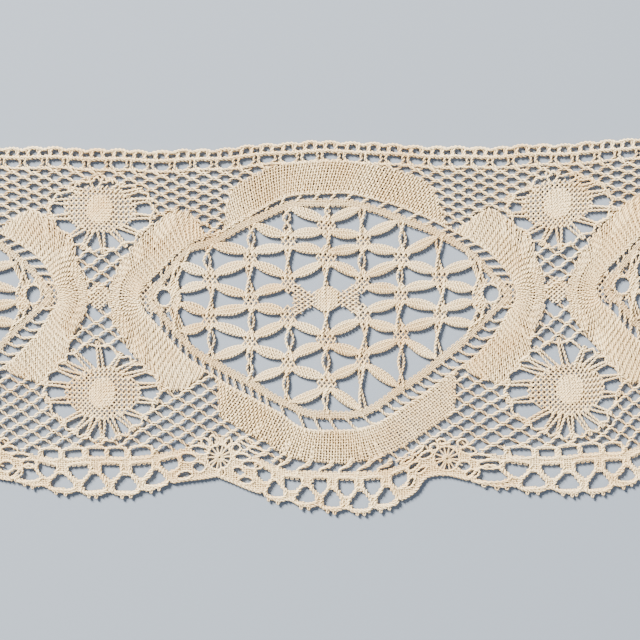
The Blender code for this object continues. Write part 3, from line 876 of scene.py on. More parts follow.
netLook = {
    "jitter": 0.16,    # how far a pin strays
    "over": 0.1,       # height of a pair that passes over another
    "into": 0.45,      # how far a pair runs into the cloth it meets
    "turns": 1.0,      # twists from pin to pin
    "steps": 6,
    "atPin": 1.45,     # how much wider a pair lies where it is crossed
    "between": 0.9,
    "round": 0.75,     # 0 for straight lines from pin to pin, 1 for the roundest meshes
}


def addPinnedPair(threads, pins, height):
    # a pair that opens at each pin to let the crossing pair through
    first = []
    second = []
    steps = netLook["steps"]
    for span, (start, end) in enumerate(zip(pins, pins[1:])):
        run = end[0] - start[0]
        rise = end[1] - start[1]
        size = math.hypot(run, rise) or 1.0
        for step in range(steps + (span == len(pins) - 2)):
            share = step / steps
            phase = math.tau * netLook["turns"] * share
            near = (2.0 * share - 1.0) ** 2
            side = pairLook["half"] * mix(netLook["between"], netLook["atPin"], near) * math.cos(phase)
            up = pairLook["rise"] * math.sin(phase)
            x = start[0] + share * run
            y = start[1] + mix(share, smoothStep(share), netLook["round"]) * rise
            first.append((x - side * rise / size, y + side * run / size, height + up))
            second.append((x + side * rise / size, y - side * run / size, height - up))
    addThread(threads, first)
    addThread(threads, second)


def addNet(threads, columnsRange, rowsRange, place, isWorked):
    # pairs cross on diagonal lines; place() puts a pin, isWorked() says where there is net
    pins = {}

    def pin(column, row):
        if (column, row) not in pins:
            x, y = place(column, row)
            x += rng.uniform(-1, 1) * netLook["jitter"]
            y += rng.uniform(-1, 1) * netLook["jitter"]
            pins[(column, row)] = (x, y)
        return pins[(column, row)]

    def isClosed(x, y):
        return not isWorked(x, y)

    lowColumn, highColumn = columnsRange
    lowRow, highRow = rowsRange
    tall = highRow - lowRow
    for slope, height in ((1, netLook["over"]), (-1, -netLook["over"])):
        for start in range(lowColumn - tall, highColumn + tall + 1):
            if (start + lowRow) % 2:
                continue
            current = []
            before = None
            for step in range(tall + 1):
                here = pin(start + slope * step, lowRow + step)
                if isWorked(*here):
                    if not current and before:
                        edge = edgeBetween(here, before, isClosed)
                        current.append(extended(here, edge, netLook["into"]))
                    current.append(here)
                elif current:
                    edge = edgeBetween(current[-1], here, isClosed)
                    current.append(extended(current[-1], edge, netLook["into"]))
                    addPinnedPair(threads, current, height)
                    current = []
                before = here
            if len(current) > 1:
                addPinnedPair(threads, current, height)


def extended(start, end, extra):
    # the end of a line made longer by a little
    size = math.dist(start, end) or 1.0
    return mixPlace(start, end, (size + extra) / size)


# Ground: the fine net under the footside, and the coarser nets round each crossing.

def footGround():
    threads = []
    pitch = footside["pitch"] / 2

    def netTop(along):
        return topEdge(along) + footside["hump"] - footside["netTop"]

    def place(column, row):
        along = footside["start"] + pitch * (column + 1)
        return along, netTop(along) - footNet["rise"] * row

    def isWorked(x, y):
        return footNet["lowest"] < y < netTop(x) + footNet["roofRoom"] and not covered(x, y)

    reach = int(lace["length"] / 2 / pitch) + 2
    addNet(threads, (-reach, reach), (0, footNet["rows"]), place, isWorked)
    return threads


def crossingGround(net):
    threads = []
    for centre in crossings:

        def place(column, row):
            return centre + net.along + (column + 1) * net.step, net.across + row * net.rise

        def isWorked(x, y):
            if abs(x - centre) > netHalf or not net.lowest < y < net.highest:
                return False
            return y >= headFloor(x) + headRoom["clear"] and not covered(x, y)

        reach = int(net.reach / net.step)
        low = int((net.lowest - net.across) / net.rise) - 1
        high = int((net.highest - net.across) / net.rise) + 1
        shift = round(-net.along / net.step)
        addNet(threads, (shift - reach, shift + reach), (low, high), place, isWorked)
    return threads


# Room kept between the lowest net and the headside's braids.
headRoom = {
    "side": (-28.0, 30.5),       # reach of a side scallop from its crossing
    "standing": (-15.0, 14.5),   # and of the openings that stand on its braid
    "overStanding": 3.5,
    "overSide": 1.2,
    "middle": (-30.5, 31.0),     # reach of the middle scallop from the oval
    "overMiddle": 1.0,
    "elsewhere": -40.0,
    "clear": 0.3,
}


def isBetween(value, limits):
    return limits[0] < value < limits[1]


def headFloor(along):
    # the upper edge of the headside's braids, where the net ends
    for centre in crossings:
        x = along - centre
        if isBetween(x, headRoom["side"]):
            stands = isBetween(x, headRoom["standing"])
            return heightAt(sideBraid, x) + headRoom["overStanding" if stands else "overSide"]
    for centre in ovals:
        x = along - centre
        if isBetween(x, headRoom["middle"]):
            return heightAt(middleBraid, x) + headRoom["overMiddle"]
    return headRoom["elsewhere"]


def rimPair(threads, outline, rim):
    # a twisted pair round an opening
    middle = (sum(x for x, y in outline) / len(outline), sum(y for x, y in outline) / len(outline))
    places = []
    for x, y in outline:
        size = math.dist((x, y), middle) or 1.0
        places.append(mixPlace(middle, (x, y), (size + rim.out) / size))
    line = smoothRows(places, closed=True)
    addPair(threads, line + line[:1], rim.height, rim.spread)


def spiderEdges():
    # the pair that runs round each spider's opening, drawn in by every leg that it holds
    threads = []
    for centre in crossings:
        for spider in spiders:
            feet = spiderFeet(spider)
            rim = []
            for foot, after in zip(feet, feet[1:] + feet[:1]):
                half = mixPlace(foot, after, 0.5)
                rim.append(extended((spider.along, spider.across), foot, -spiderLook["drawnIn"]))
                rim.append(extended((spider.along, spider.across), half, spiderLook["bulge"]))
            line = smoothRows(shifted(rim, centre), closed=True)
            addPair(threads, line + line[:1], spiderLook["rimHeight"], spiderLook["rimSpread"])
    return threads


# Cloth trails: cloth stitch bands that follow the oval. The real threads lie closer together,
# too fine to show at the photo's distance, so the stitch is drawn coarser.
clothLook = {
    "passives": 0.76,
    "rows": 0.7,
    "wave": 0.21,
    "stray": 0.1,
    "passiveThick": 0.9,
    "workerThick": 1.15,
}
touching = {
    "along": 0.2,
    "across": 1.0,
    "half": (2.8, 3.6),
    "box": (3.0, 3.8),
    "weave": Weave((40.0, -44.0), (0.85, 0.85), 0.14, 1.1, 0.5),
}


def clothTrails():
    threads = []
    for trail in trails:
        stations = trailStations(trail)
        addCloth(threads, stations, clothLook, trail.leans)
    return [thread for centre in ovals for thread in moved(threads, centre)]


def touchingTrails():
    # the trails of two neighbouring ovals hold each other with an open woven patch
    threads = []
    for centre in crossings:
        along = centre + touching["along"]
        region = ellipse(along, touching["across"], *touching["half"])
        box = boxOf(along, touching["across"], *touching["box"])
        addWeave(threads, region, box, touching["weave"])
    return threads


# The ring round the oval, and the slanted pairs that tie it to the cloth.
ringLook = {
    "half": 0.78,
    "endHalf": 0.55,      # narrower at both ends of the oval
    "narrowFrom": 33.0,
    "narrowOver": 8.0,
    "passives": 0.39,
    "rows": 0.7,
    "wave": 0.08,
    "stray": 0.05,
    "passiveThick": 1.05,
    "workerThick": 0.75,
    "outerPair": 0.15,    # how far inside the cloth's edge the outer pair runs
}
# Their spacing grows away from both ends of the oval.
ladder = {
    "from": -45.0,
    "to": 45.5,
    "left": -46.0,
    "right": 47.5,
    "step": 2.6,
    "more": 1.5,
    "ease": 12.0,
    "widest": 4.6,      # a second pair comes between feet that lie further apart
    "lean": 0.8,
    "overlap": 0.5,
    "lowerBow": 0.22,
    "bend": 0.6,
}


def addLadderPair(threads, upper, place):
    foot = ringAt(upper, place)
    head = ringAt(upper, place + ladder["lean"] * foot[4] * abs(foot[3]))
    start = beside(foot, ladder["overlap"])
    end = beside(head, head[4] + ladder["overlap"])
    bow = 0.0 if upper else ladder["lowerBow"] * foot[4]
    middle = ((start[0] + end[0]) / 2 - bow * foot[2], (start[1] + end[1]) / 2 + bow * foot[3])
    addPair(threads, smoothRows([start, mixPlace(start, middle, ladder["bend"]), middle, end]))


def ovalRing():
    threads = []
    stations = []
    for s in ring + ring[:1]:
        narrow = smoothStep((abs(s[0]) - ringLook["narrowFrom"]) / ringLook["narrowOver"])
        half = mix(ringLook["half"], ringLook["endHalf"], narrow)
        stations.append((*beside(s, -half), s[2], s[3], 2.0 * half))
    addCloth(threads, stations, ringLook)
    edge = [beside(s, s[4] - ringLook["outerPair"]) for s in ring]
    addPair(threads, edge + edge[:1])
    for upper in (True, False):
        along = ladder["from"]
        while along < ladder["to"]:
            near = min(along - ladder["left"], ladder["right"] - along)
            step = ladder["step"] + ladder["more"] * smoothStep(near / ladder["ease"])
            addLadderPair(threads, upper, along)
            apart = math.dist(ringAt(upper, along)[:2], ringAt(upper, along + step)[:2])
            if apart > ladder["widest"]:
                addLadderPair(threads, upper, along + step / 2)
            along += step
    return [thread for centre in ovals for thread in moved(threads, centre)]


# Leaves: woven tallies between the knots, with coarser rows than the real ones so that they show.
leafLook = {
    "half": 1.3,            # half width in the middle
    "tip": 0.3,             # and at both ends
    "fullness": 0.68,       # lower for blunter leaves
    "swell": (0.9, 1.06),   # how the widths differ
    "bow": 0.25,
    "side": 1.25,           # how far from a knot's middle line a leaf starts
    "spread": 1.65,         # how far over or under a knot's middle it starts
    "ringSpread": 0.9,      # the same where it starts on the ring
    "rows": 0.43,
    "wave": 0.12,
    "passives": 4,
    "within": 0.84,         # place of the outermost passives, as a share of the half width
    "root": 0.1,            # how far they run on into the knots, as a share of the length
    "passiveThick": 0.95,
    "workerThick": 1.12,
}
leafRoom = 6.0              # leaves are made this far beyond the cut ends


def addLeaf(threads, start, end):
    run = end[0] - start[0]
    rise = end[1] - start[1]
    size = math.hypot(run, rise)
    normal = (-rise / size, run / size)
    count = round(size / leafLook["rows"])
    swell = leafLook["half"] * rng.uniform(*leafLook["swell"])
    bow = rng.uniform(-leafLook["bow"], leafLook["bow"])
    passives = leafLook["passives"]
    worker = []
    runs = [[] for index in range(passives)]

    def placeAt(share, side):
        full = max(0.0, 1.0 - (2.0 * share - 1.0) ** 2)
        half = leafLook["tip"] + (swell - leafLook["tip"]) * full ** leafLook["fullness"]
        off = half * side + bow * full
        return start[0] + share * run + off * normal[0], start[1] + share * rise + off * normal[1]

    spreads = [2.0 * (index + 0.5) / passives - 1.0 for index in range(passives)]
    for row in range(count + 1):
        share = row / count
        crossed = []
        for index, spread in enumerate(spreads):
            up = leafLook["wave"] * (1 if (row + index) % 2 else -1)
            place = placeAt(share, leafLook["within"] * spread)
            crossed.append((*place, up))
            runs[index].append((*place, -clothStitch["under"] * up))
        crossed = [(*placeAt(share, -1.0), 0.0)] + crossed + [(*placeAt(share, 1.0), 0.0)]
        worker += crossed if row % 2 else crossed[::-1]
    root = leafLook["root"]
    for spread, places in zip(spreads, runs):
        side = leafLook["tip"] * spread
        off = (side * normal[0], side * normal[1])
        first = (start[0] - root * run + off[0], start[1] - root * rise + off[1], 0.0)
        last = (end[0] + root * run + off[0], end[1] + root * rise + off[1], 0.0)
        addThread(threads, [first] + places[::2] + [last], leafLook["passiveThick"])
    addThread(threads, worker, leafLook["workerThick"])


def leafEnds():
    # each leaf joins an entry of the shorter column to one of the longer column
    ends = []
    for left in range(len(columns) - 1):
        short, long = (left, left + 1) if left < middleColumn else (left + 1, left)
        entries = columnStops(short)
        stops = columnStops(long)
        final = len(entries) - 1
        toward = leafLook["side"] if long > short else -leafLook["side"]
        for index, entry in enumerate(entries):
            for other in (index, index + 1):
                ringEdge = (index, other) in ((0, 0), (final, final + 1))
                atSpider = long == middleColumn and other == 3
                if not ringEdge and not atSpider:
                    rises = 1.0 if stops[other] > entry else -1.0
                    spread = leafLook["ringSpread" if index in (0, final) else "spread"]
                    start = (columns[short].along + toward, entry + rises * spread)
                    end = (columns[long].along - toward, stops[other] - rises * leafLook["spread"])
                    ends.append((start, end))
    return ends


def leaves(centres):
    threads = []
    for centre in centres:
        for start, end in leafEnds():
            if abs(centre + (start[0] + end[0]) / 2) < lace["length"] / 2 + leafRoom:
                addLeaf(threads, (centre + start[0], start[1]), (centre + end[0], end[1]))
    return threads


# Knots where leaves and plaits meet, the plaits, and the small spider in the oval's middle.
knotLook = {
    "halfHeight": 2.9,
    "fullness": 2.4,
    "tilt": 6.0,
    "room": 0.3,
    "weave": Weave((52.0, -52.0), (0.98, 0.98), 0.14, 1.1, 0.5),
}
plaitLook = {
    "apart": 0.74,
    "apartRange": (0.9, 1.35),
    "crossings": (1, 2, 3),
    "bow": 0.7,
    "overlap": 0.4,
    "height": 0.09,
    "spread": 0.85,
    "steps": 12,
}
middleSpider = {
    "half": (3.1, 2.95),
    "core": (2.9, 2.6),      # the web beside it starts outside this
    "weave": Weave((45.0, -45.0), (0.55, 0.55), 0.13, 1.0, 0.4),
    "web": Weave((36.0, -36.0), (0.92, 0.92), 0.14, 1.1, 0.4),
    "webAt": 5.5,
    "webHalf": (4.0, 4.4),
}
webOutline = (
    (1.5, 2.5),
    (3.8, 2.0),
    (5.3, 2.5),
    (7.0, 4.0),
    (8.8, 3.6),
    (8.6, 0.0),
    (8.8, -3.6),
    (7.0, -4.2),
    (5.3, -2.7),
    (3.8, -2.1),
    (1.5, -2.5),
)
endLook = {
    "shift": 1.5,            # the weave lies further out than its eye
    "half": (5.9, 3.9),
    "box": (6.0, 4.2),
    "eyeRoom": 0.35,
    "rimOut": 0.3,
    "rimHeight": 0.08,
    "rimSteps": 12,
    "toCloth": 0.2,
    "pairOut": 0.5,
    "pairSpread": 0.9,
    "pairs": ((70.0, 0.4), (125.0, 1.8), (150.0, 4.6)),   # direction, and lean on its way out
    "weave": Weave((50.0, -50.0), (1.05, 1.05), 0.13, 1.0, 0.5),
}


def knotsAndPlaits():
    threads = []
    for index, column in enumerate(columns):
        stops = columnStops(index)
        for number, across in enumerate(column.knots):
            if index == middleColumn and number == 2:
                half = middleSpider["half"]
                region = ellipse(column.along, across, *half)
                addWeave(threads, region, boxOf(column.along, across, *half), middleSpider["weave"])
                addMiddleWeb(threads, column.along, across)
            else:
                half = (column.halfWidth, knotLook["halfHeight"])
                region = ellipse(column.along, across, *half, knotLook["fullness"])
                box = boxOf(column.along, across, half[0] + knotLook["room"], half[1] + knotLook["room"])
                tilt = rng.uniform(-knotLook["tilt"], knotLook["tilt"])
                angles = [angle + tilt for angle in knotLook["weave"].angles]
                addWeave(threads, region, box, knotLook["weave"]._replace(angles=angles))
        for high, low in zip(stops, stops[1:]):
            atWeb = abs(index - middleColumn) == 1 and low < 0.0 < high
            if not atWeb:
                addPlait(threads, column.along, high, low)
    for opening in endOpenings:
        addEndCloth(threads, opening)
    return [thread for centre in ovals for thread in moved(threads, centre)]


def addPlait(threads, along, high, low):
    # two pairs that cross each other on their way
    beats = rng.choice(plaitLook["crossings"]) * math.pi
    wide = plaitLook["apart"] * rng.uniform(*plaitLook["apartRange"])
    bow = rng.uniform(-plaitLook["bow"], plaitLook["bow"])
    steps = plaitLook["steps"]
    overlap = plaitLook["overlap"]
    for side in (-1.0, 1.0):
        path = []
        for step in range(steps + 1):
            share = step / steps
            off = side * wide * math.cos(beats * share) + bow * math.sin(math.pi * share)
            path.append((along + off, mix(high - overlap, low + overlap, share)))
        addPair(threads, path, plaitLook["height"] * side, plaitLook["spread"])


def addMiddleWeb(threads, along, across):
    # on both sides of the middle spider an open web reaches to the two knots beside it
    core = ellipse(along, across, *middleSpider["core"])
    for side in (-1.0, 1.0):
        outline = [(along + side * x, across + y) for x, y in webOutline]
        box = boxOf(along + side * middleSpider["webAt"], across, *middleSpider["webHalf"])

        def region(x, y):
            return inside(outline, x, y) and not core(x, y)

        addWeave(threads, region, box, middleSpider["web"])


def addEndCloth(threads, opening):
    # open weaving round the eye at each end of the oval
    side = -1.0 if opening.along < 0.0 else 1.0
    wide = opening.halfWidth
    tall = opening.halfHeight
    room = endLook["eyeRoom"]
    middle = opening.along + endLook["shift"] * side
    hole = ellipse(opening.along, opening.across, wide + room, tall + room)
    around = ellipse(middle, opening.across, *endLook["half"])
    outline = [beside(s, s[4] + endLook["toCloth"]) for s in ring]

    def region(x, y):
        return around(x, y) and not hole(x, y) and inside(outline, x, y)

    addWeave(threads, region, boxOf(middle, opening.across, *endLook["box"]), endLook["weave"])
    out = endLook["rimOut"]
    rim = ellipsePath(opening.along, opening.across, wide + out, tall + out, endLook["rimSteps"])
    addPair(threads, rim, endLook["rimHeight"])
    for sideY in (-1.0, 1.0):
        for turn, lean in endLook["pairs"]:
            angle = math.radians(turn)
            start = (
                opening.along + side * (wide + endLook["pairOut"]) * math.cos(angle),
                opening.across + sideY * (tall + endLook["pairOut"]) * math.sin(angle),
            )
            end = ringAt(sideY > 0, start[0] - side * lean)[:2]
            addPair(threads, [start, mixPlace(start, end, 0.5), end], 0.0, endLook["pairSpread"])


def ellipsePath(along, across, halfWidth, halfHeight, steps):
    path = []
    for index in range(steps + 1):
        turn = math.tau * index / steps
        path.append((along + halfWidth * math.cos(turn), across + halfHeight * math.sin(turn)))
    return path


# The large spiders over and under each crossing.
spiderLook = {
    "weave": Weave((47.0, -47.0), (0.9, 0.9), 0.14, 1.1, 0.5),
    "core": (3.3, 3.9),
    "coreWeave": Weave((49.0, -45.0), (0.5, 0.5), 0.17, 1.0, 0.3),
    "legApart": 1.05,
    "legTaper": (1.3, 0.5),   # the two pairs of a leg close up towards its foot
    "legStray": 0.2,
    "shortLeg": 3.0,          # shorter legs are a single pair
    "overlap": 0.8,           # how far a leg starts inside the body
    "footOut": 0.4,
    "sweep": 0.3,             # legs spring from further up or down the body than they end
    "legHeight": 0.06,
    "legSpread": 0.85,
    "drawnIn": 1.0,           # the rim's pair is drawn in at each foot and bulges between
    "bulge": 0.6,
    "rimHeight": 0.05,
    "rimSpread": 0.8,
}


def addSpiderLeg(threads, spider, leg):
    turn = math.radians(leg.turn)
    upright = math.copysign(math.pi / 2, math.sin(turn))
    plain = math.atan2(math.sin(turn), math.cos(turn))
    inner = mix(plain, upright, spiderLook["sweep"] * abs(math.sin(turn)))
    start = min(spiderBody(spider, inner), leg.reach) - spiderLook["overlap"]
    reach = leg.reach + spiderLook["footOut"]
    normal = (-math.sin(turn), math.cos(turn))
    foot = (reach * math.cos(turn), reach * math.sin(turn))
    root = (start * math.cos(inner), start * math.sin(inner))
    stray = spiderLook["legStray"]
    for side in (-0.5, 0.5):
        if leg.reach - start < spiderLook["shortLeg"] and side < 0.0:
            continue
        path = []
        for share in (0.0, 0.35, 0.7, 1.0):
            apart = side * spiderLook["legApart"] * mix(*spiderLook["legTaper"], share)
            off = apart * (1.0 + rng.uniform(-stray, stray))
            x, y = mixPlace(root, foot, share)
            path.append((spider.along + x + off * normal[0], spider.across + y + off * normal[1]))
        addPair(threads, smoothRows(path), spiderLook["legHeight"] * side, spiderLook["legSpread"])


def spiderThreads():
    threads = []
    for spider in spiders:

        def body(x, y):
            turn = math.atan2(y - spider.across, x - spider.along)
            return math.hypot(x - spider.along, y - spider.across) < spiderBody(spider, turn)

        core = ellipse(spider.along, spider.across, *spiderLook["core"])
        box = boxOf(spider.along, spider.across, spider.halfWidth, spider.halfHeight)
        addWeave(threads, body, box, spiderLook["weave"])
        addWeave(threads, core, box, spiderLook["coreWeave"])
        for leg in spider.legs:
            addSpiderLeg(threads, spider, leg)
    return [thread for centre in crossings for thread in moved(threads, centre)]


# Footside: two rows of eyes under a row of pin humps. A stop of a bar between two eyes: place
# beside its middle line, depth under the edge, and how much of the humps it follows.
Stop = namedtuple("Stop", "beside depth hump")
smallBarPairs = {"height": 0.06, "spread": 0.7}
largeBarPairs = {"height": 0.05, "spread": 0.9}
smallBar = (
    Stop(0.5, 0.7, 0.8),
    Stop(0.14, 1.85, 0.0),
    Stop(0.45, 2.85, 0.0),
)
largeBar = (
    Stop(0.35, 2.95, 0.0),
    Stop(0.85, 3.5, 0.0),
    Stop(0.42, 4.3, 0.0),
    Stop(1.2, 5.2, 0.0),
    Stop(1.9, 5.6, 0.0),
)
# Pairs along the edge: depth, how much of the humps they follow, and height.
edgePairs = ((0.4, 1.0, 0.06), (0.66, 0.8, -0.06))
innerPairs = (
    (footside["midLine"] - 0.18, 0.07),
    (footside["midLine"] + 0.12, -0.07),
    (footside["netTop"] + 0.1, 0.0),
)


def footsideThreads():
    threads = []
    f = footside
    count = int(lace["length"] / f["pitch"] / 2) + 2
    low = f["start"] - count * f["pitch"]
    high = f["start"] + count * f["pitch"]

    def edge(along, depth, hump=0.0):
        wave = abs(math.cos(math.pi * (along - f["start"]) / f["pitch"])) ** f["humpFullness"]
        return topEdge(along) + f["hump"] * (1.0 - hump + hump * wave) - depth

    def addBar(x, bar, pairs):
        for side in (-1.0, 1.0):
            path = [(x + side * stop.beside, edge(x, stop.depth, stop.hump)) for stop in bar]
            addPair(threads, smoothRows(path), pairs["height"] * side, pairs["spread"])

    places = [low + f["step"] * index for index in range(int((high - low) / f["step"]))]
    for depth, hump, height in edgePairs:
        addPair(threads, [(x, edge(x, depth, hump)) for x in places], height)
    for depth, height in innerPairs:
        sways = [f["sway"] * math.sin(f["swayWaves"] * x + depth) for x in places]
        addPair(threads, [(x, edge(x, depth + sway)) for x, sway in zip(places, sways)], height)
    for index in range(-2 * count, 2 * count):
        addBar(f["start"] + f["pitch"] / 2 * (index + 0.5), smallBar, smallBarPairs)
    for index in range(-count, count):
        addBar(f["start"] + f["pitch"] * (index + 0.5), largeBar, largeBarPairs)
    return threads


# Headside: rims round every opening, cloth between them, braids and picots.
headWeave = Weave((2.0, 92.0), (0.5, 0.66), 0.12, 0.98, 0.15)
braidLook = {
    "passives": 0.42,
    "rows": 0.65,
    "wave": 0.1,
    "stray": 0.05,
    "passiveThick": 1.05,
    "workerThick": 0.8,
}
# S-shaped links of three pairs between the lower trail and the middle scallop's braid. A bend
# of a link is placed from the braid, and each next pair lies a little further on.
Bend = namedtuple("Bend", "along alongMore across acrossMore")
linkBends = (
    Bend(2.2, -0.2, 4.4, 0.0),
    Bend(2.3, -1.0, 3.3, -0.3),
    Bend(1.2, -1.0, 2.3, 0.0),
    Bend(-0.7, -0.5, 1.9, -0.4),
    Bend(-1.3, 0.3, 0.5, 0.0),
)
links = {
    "places": (-11.4, -6.1, -0.6, 4.6, 9.6, 14.6),
    "stray": 0.1,
    "apart": 0.5,
    "height": 0.05,
    "spread": 0.8,
}


def addLink(threads, place, base):
    for step in range(3):
        more = links["apart"] * step
        path = []
        for bend in linkBends:
            x = place + bend.along + bend.alongMore * more
            path.append((x, base + bend.across + bend.acrossMore * more))
        addPair(threads, smoothRows(path), links["height"] * (step - 1), links["spread"])


def headEyeOutlines(centre, low, high):
    # the small openings that lie in one scallop, placed from its middle
    outlines = []
    for oval in ovals:
        for eye in headEyes:
            along = oval + eye.along - centre
            if low - headside["eyeRoom"] < along < high + headside["eyeRoom"]:
                turn = math.radians(eye.tilt)
                outline = []
                for x, y in lozenge(0.0, 0.0, eye.halfWidth, eye.halfHeight):
                    right = x * math.cos(turn) - y * math.sin(turn)
                    up = x * math.sin(turn) + y * math.cos(turn)
                    outline.append((along + right, eye.across + up))
                outlines.append(outline)
    return outlines


def nearRosette(x, y):
    for oval in ovals:
        for rosette in rosettes:
            if math.dist((x, y), (oval + rosette.along, rosette.across)) < rosette.radius:
                return True
    return False


def scallop(centre, braid, outer, fan):
    threads = []
    atSide = fan is sideFan
    openings, standing = fanOpenings(braid, outer, fan)
    half = headside["braidHalf"]
    low = braid[0][0] - headside["beforeBraid"]
    high = braid[-1][0] + headside["afterBraid"]
    first = fan.arches[0] - fan.spacing / 2
    last = fan.arches[-1] + fan.spacing / 2
    room = headside["besideStanding"]
    standingReach = (fan.standing[0] - room, fan.standing[-1] + room)
    eyes = headEyeOutlines(centre, low, high)
    holes = [zoneOf(outline) for outline in openings + standing + eyes]

    def bottom(along):
        # the outer braid bulges under each arch and draws in between
        edge = heightAt(outer, along) - headside["outerHalf"]
        if along < first or along > last:
            return edge
        nearest = min(abs(along - arch) for arch in fan.arches) / fan.spacing
        share = (nearest - headside["valleyFrom"]) / headside["valleyOver"]
        return edge + headside["valleyRise"] * smoothStep(share)

    def region(x, y):
        if not low < x < high or y < bottom(x) + headside["edgeRoom"]:
            return False
        if within(holes, x, y) or nearRosette(x + centre, y):
            return False
        top = headside["overStanding"] if atSide and isBetween(x, standingReach) else half
        return y < heightAt(braid, x) + top

    lowest = min(y for x, y in outer) - headside["boxUnder"]
    highest = max(y for x, y in braid) + headside["boxOver"]
    box = (low, lowest, high, highest)
    addWeave(threads, region, box, headWeave)
    for outline in openings:
        rimPair(threads, outline, fanRim)
    for outline in standing if atSide else ():
        rimPair(threads, outline, standingRim)
    for outline in eyes:
        if low < outline[0][0] < high:
            rimPair(threads, outline, eyeRim)
    for place in () if atSide else links["places"]:
        addLink(threads, place, heightAt(braid, place) + rng.uniform(-links["stray"], links["stray"]))
    start = fan.hanging[0] - fan.spacing / 2
    end = fan.hanging[-1] + fan.spacing / 2
    addCloth(threads, [(x, y - half, 0.0, 1.0, 2 * half) for x, y in braid if start < x < end], braidLook)
    edge = []
    along = low
    while along < high:
        edge.append((along, bottom(along)))
        along += headside["step"]
    for rise, height in headside["edgePairs"]:
        addPair(threads, [(x, y + rise) for x, y in edge], height)
    for arch in fan.arches:
        for side in (-1.0, 1.0):
            stray = rng.uniform(-picotLook["stray"], picotLook["stray"])
            x = arch + side * picotLook["share"] * fan.spacing + stray
            addPicot(threads, x, bottom(x) + picotLook["root"])
        if rng.random() < picotLook["third"]:
            x = arch + rng.uniform(*picotLook["thirdShare"]) * fan.spacing
            addPicot(threads, x, bottom(x) + picotLook["root"])
    return moved(threads, centre)


# Picots: two under every arch, and a third one under some.
picotLook = {
    "share": 0.14,           # place beside the arch's middle, as a share of the spacing
    "stray": 0.35,
    "third": 0.5,
    "thirdShare": (0.3, 0.4),
    "root": 0.25,            # how far inside the edge a loop starts
    "rootHalf": 0.16,
    "rootUp": 0.2,
    "loopHalf": 0.3,
    "loopAt": 0.55,          # where the loop is widest, as a share of its length
    "length": 1.0,
    "lengths": (0.8, 1.15),  # how the lengths differ
    "lean": 0.2,
    "thick": 0.95,
}


def addPicot(threads, x, y):
    # a small loop of one thread, pinned out below the edge
    length = picotLook["length"] * rng.uniform(*picotLook["lengths"])
    tip = x + rng.uniform(-picotLook["lean"], picotLook["lean"])
    root = y + picotLook["rootUp"]
    widest = y - picotLook["loopAt"] * length
    loop = [
        (x - picotLook["rootHalf"], root, 0.05),
        (tip - picotLook["loopHalf"], widest, 0.08),
        (tip, y - length, 0.05),
        (tip + picotLook["loopHalf"], widest, 0.0),
        (x + picotLook["rootHalf"], root, -0.05),
    ]
    addThread(threads, smoothRows(loop, 2), picotLook["thick"])


rosetteLook = {
    "spokes": 14,
    "spokeStray": 0.2,
    "spokeFrom": 0.3,
    "spokeOut": 1.0,      # how far spokes run on beyond the rim
    "spokeStep": 0.8,
    "spokeThick": 1.2,
    "turns": 3,           # of the spiral
    "spiralFrom": 0.35,
    "spiralWide": 0.85,
    "spiralWave": 0.2,
    "spiralThick": 1.1,
    "rimHeight": 0.05,
    "rimSpread": 0.6,
    "rimSteps": 16,
}


def addRosette(threads, rosette):
    # threads run in from all round, and one more is woven round them in a spiral
    look = rosetteLook
    middle = (rosette.along, rosette.across)
    spokes = look["spokes"]
    for index in range(spokes):
        turn = math.tau * (index + rng.uniform(-look["spokeStray"], look["spokeStray"])) / spokes
        ray = (middle[0] + math.cos(turn), middle[1] + math.sin(turn))
        inner = mixPlace(middle, ray, look["spokeFrom"])
        outer = mixPlace(middle, ray, rosette.radius + look["spokeOut"])
        addThread(threads, evenly([inner, outer], look["spokeStep"]), look["spokeThick"])
    spiral = []
    beats = 2 * spokes * look["turns"]
    for index in range(beats):
        turn = math.pi * index / spokes
        radius = look["spiralFrom"] + look["spiralWide"] * index / beats
        up = look["spiralWave"] * (1 if index % 2 else -1)
        spiral.append((middle[0] + radius * math.cos(turn), middle[1] + radius * math.sin(turn), up))
    addThread(threads, spiral, look["spiralThick"])
    rim = ellipsePath(*middle, rosette.radius, rosette.radius, look["rimSteps"])
    addPair(threads, rim, look["rimHeight"], look["rimSpread"])


def headsideThreads():
    threads = []
    for centre in crossings:
        threads += scallop(centre, sideBraid, sideOuter, sideFan)
    for centre in ovals:
        threads += scallop(centre, middleBraid, middleOuter, middleFan)
        woven = []
        for rosette in rosettes:
            addRosette(woven, rosette)
        threads += moved(woven, centre)
    return threads


# Material: two-ply cotton, mercerised once and aged to ecru, and the ageing gives soft warm and pale
# patches. The plies give small slanting lights along each thread, partly from their bump and partly as a
# painted highlight on each ply's ridge with painted shade in its groove; and painted shade makes each
# thread browner the lower it lies in the lace, where shade falls between threads.
threadColourAndPaintedShade = {
    "pale": "FFF0C8",
    "body": "F2D193",
    "aged": "DDB272",
    # painted shade: the brown that the low parts of threads and the ply grooves are coloured, where shade
    # falls
    "paintedShade": "66421A",
    "roughness": 0.78,
    "sheen": 0.12,
    "deep": 0.48,             # height where the painted shade between threads is darkest
    "high": 0.88,             # and where it is gone
    "plyPitch": 1.1,          # length of one turn of a ply
    "plyLight": 0.25,         # how much the painted shade is lifted on a ply's ridge, a painted highlight
    "patch": 14.0,            # size of a patch of ageing
    "patchFrom": 0.42,
    "patchTo": 0.75,
    "patchMost": 0.7,
    "fibresPerMetre": 5200.0,
    "relief": 0.06,
}


def toLinear(code):
    channels = []
    for index in (0, 2, 4):
        value = int(code[index:index + 2], 16) / 255
        channels.append(value / 12.92 if value <= 0.04045 else ((value + 0.055) / 1.055) ** 2.4)
    return (*channels, 1.0)


def addNode(tree, kind, settings=None, values=None, links=None):
    # one node with its settings, socket values and incoming links
    node = tree.nodes.new(kind)
    for name, value in (settings or {}).items():
        setattr(node, name, value)
    for socket, value in (values or {}).items():
        node.inputs[socket].default_value = value
    for socket, source in (links or {}).items():
        tree.links.new(source, node.inputs[socket])
    return node


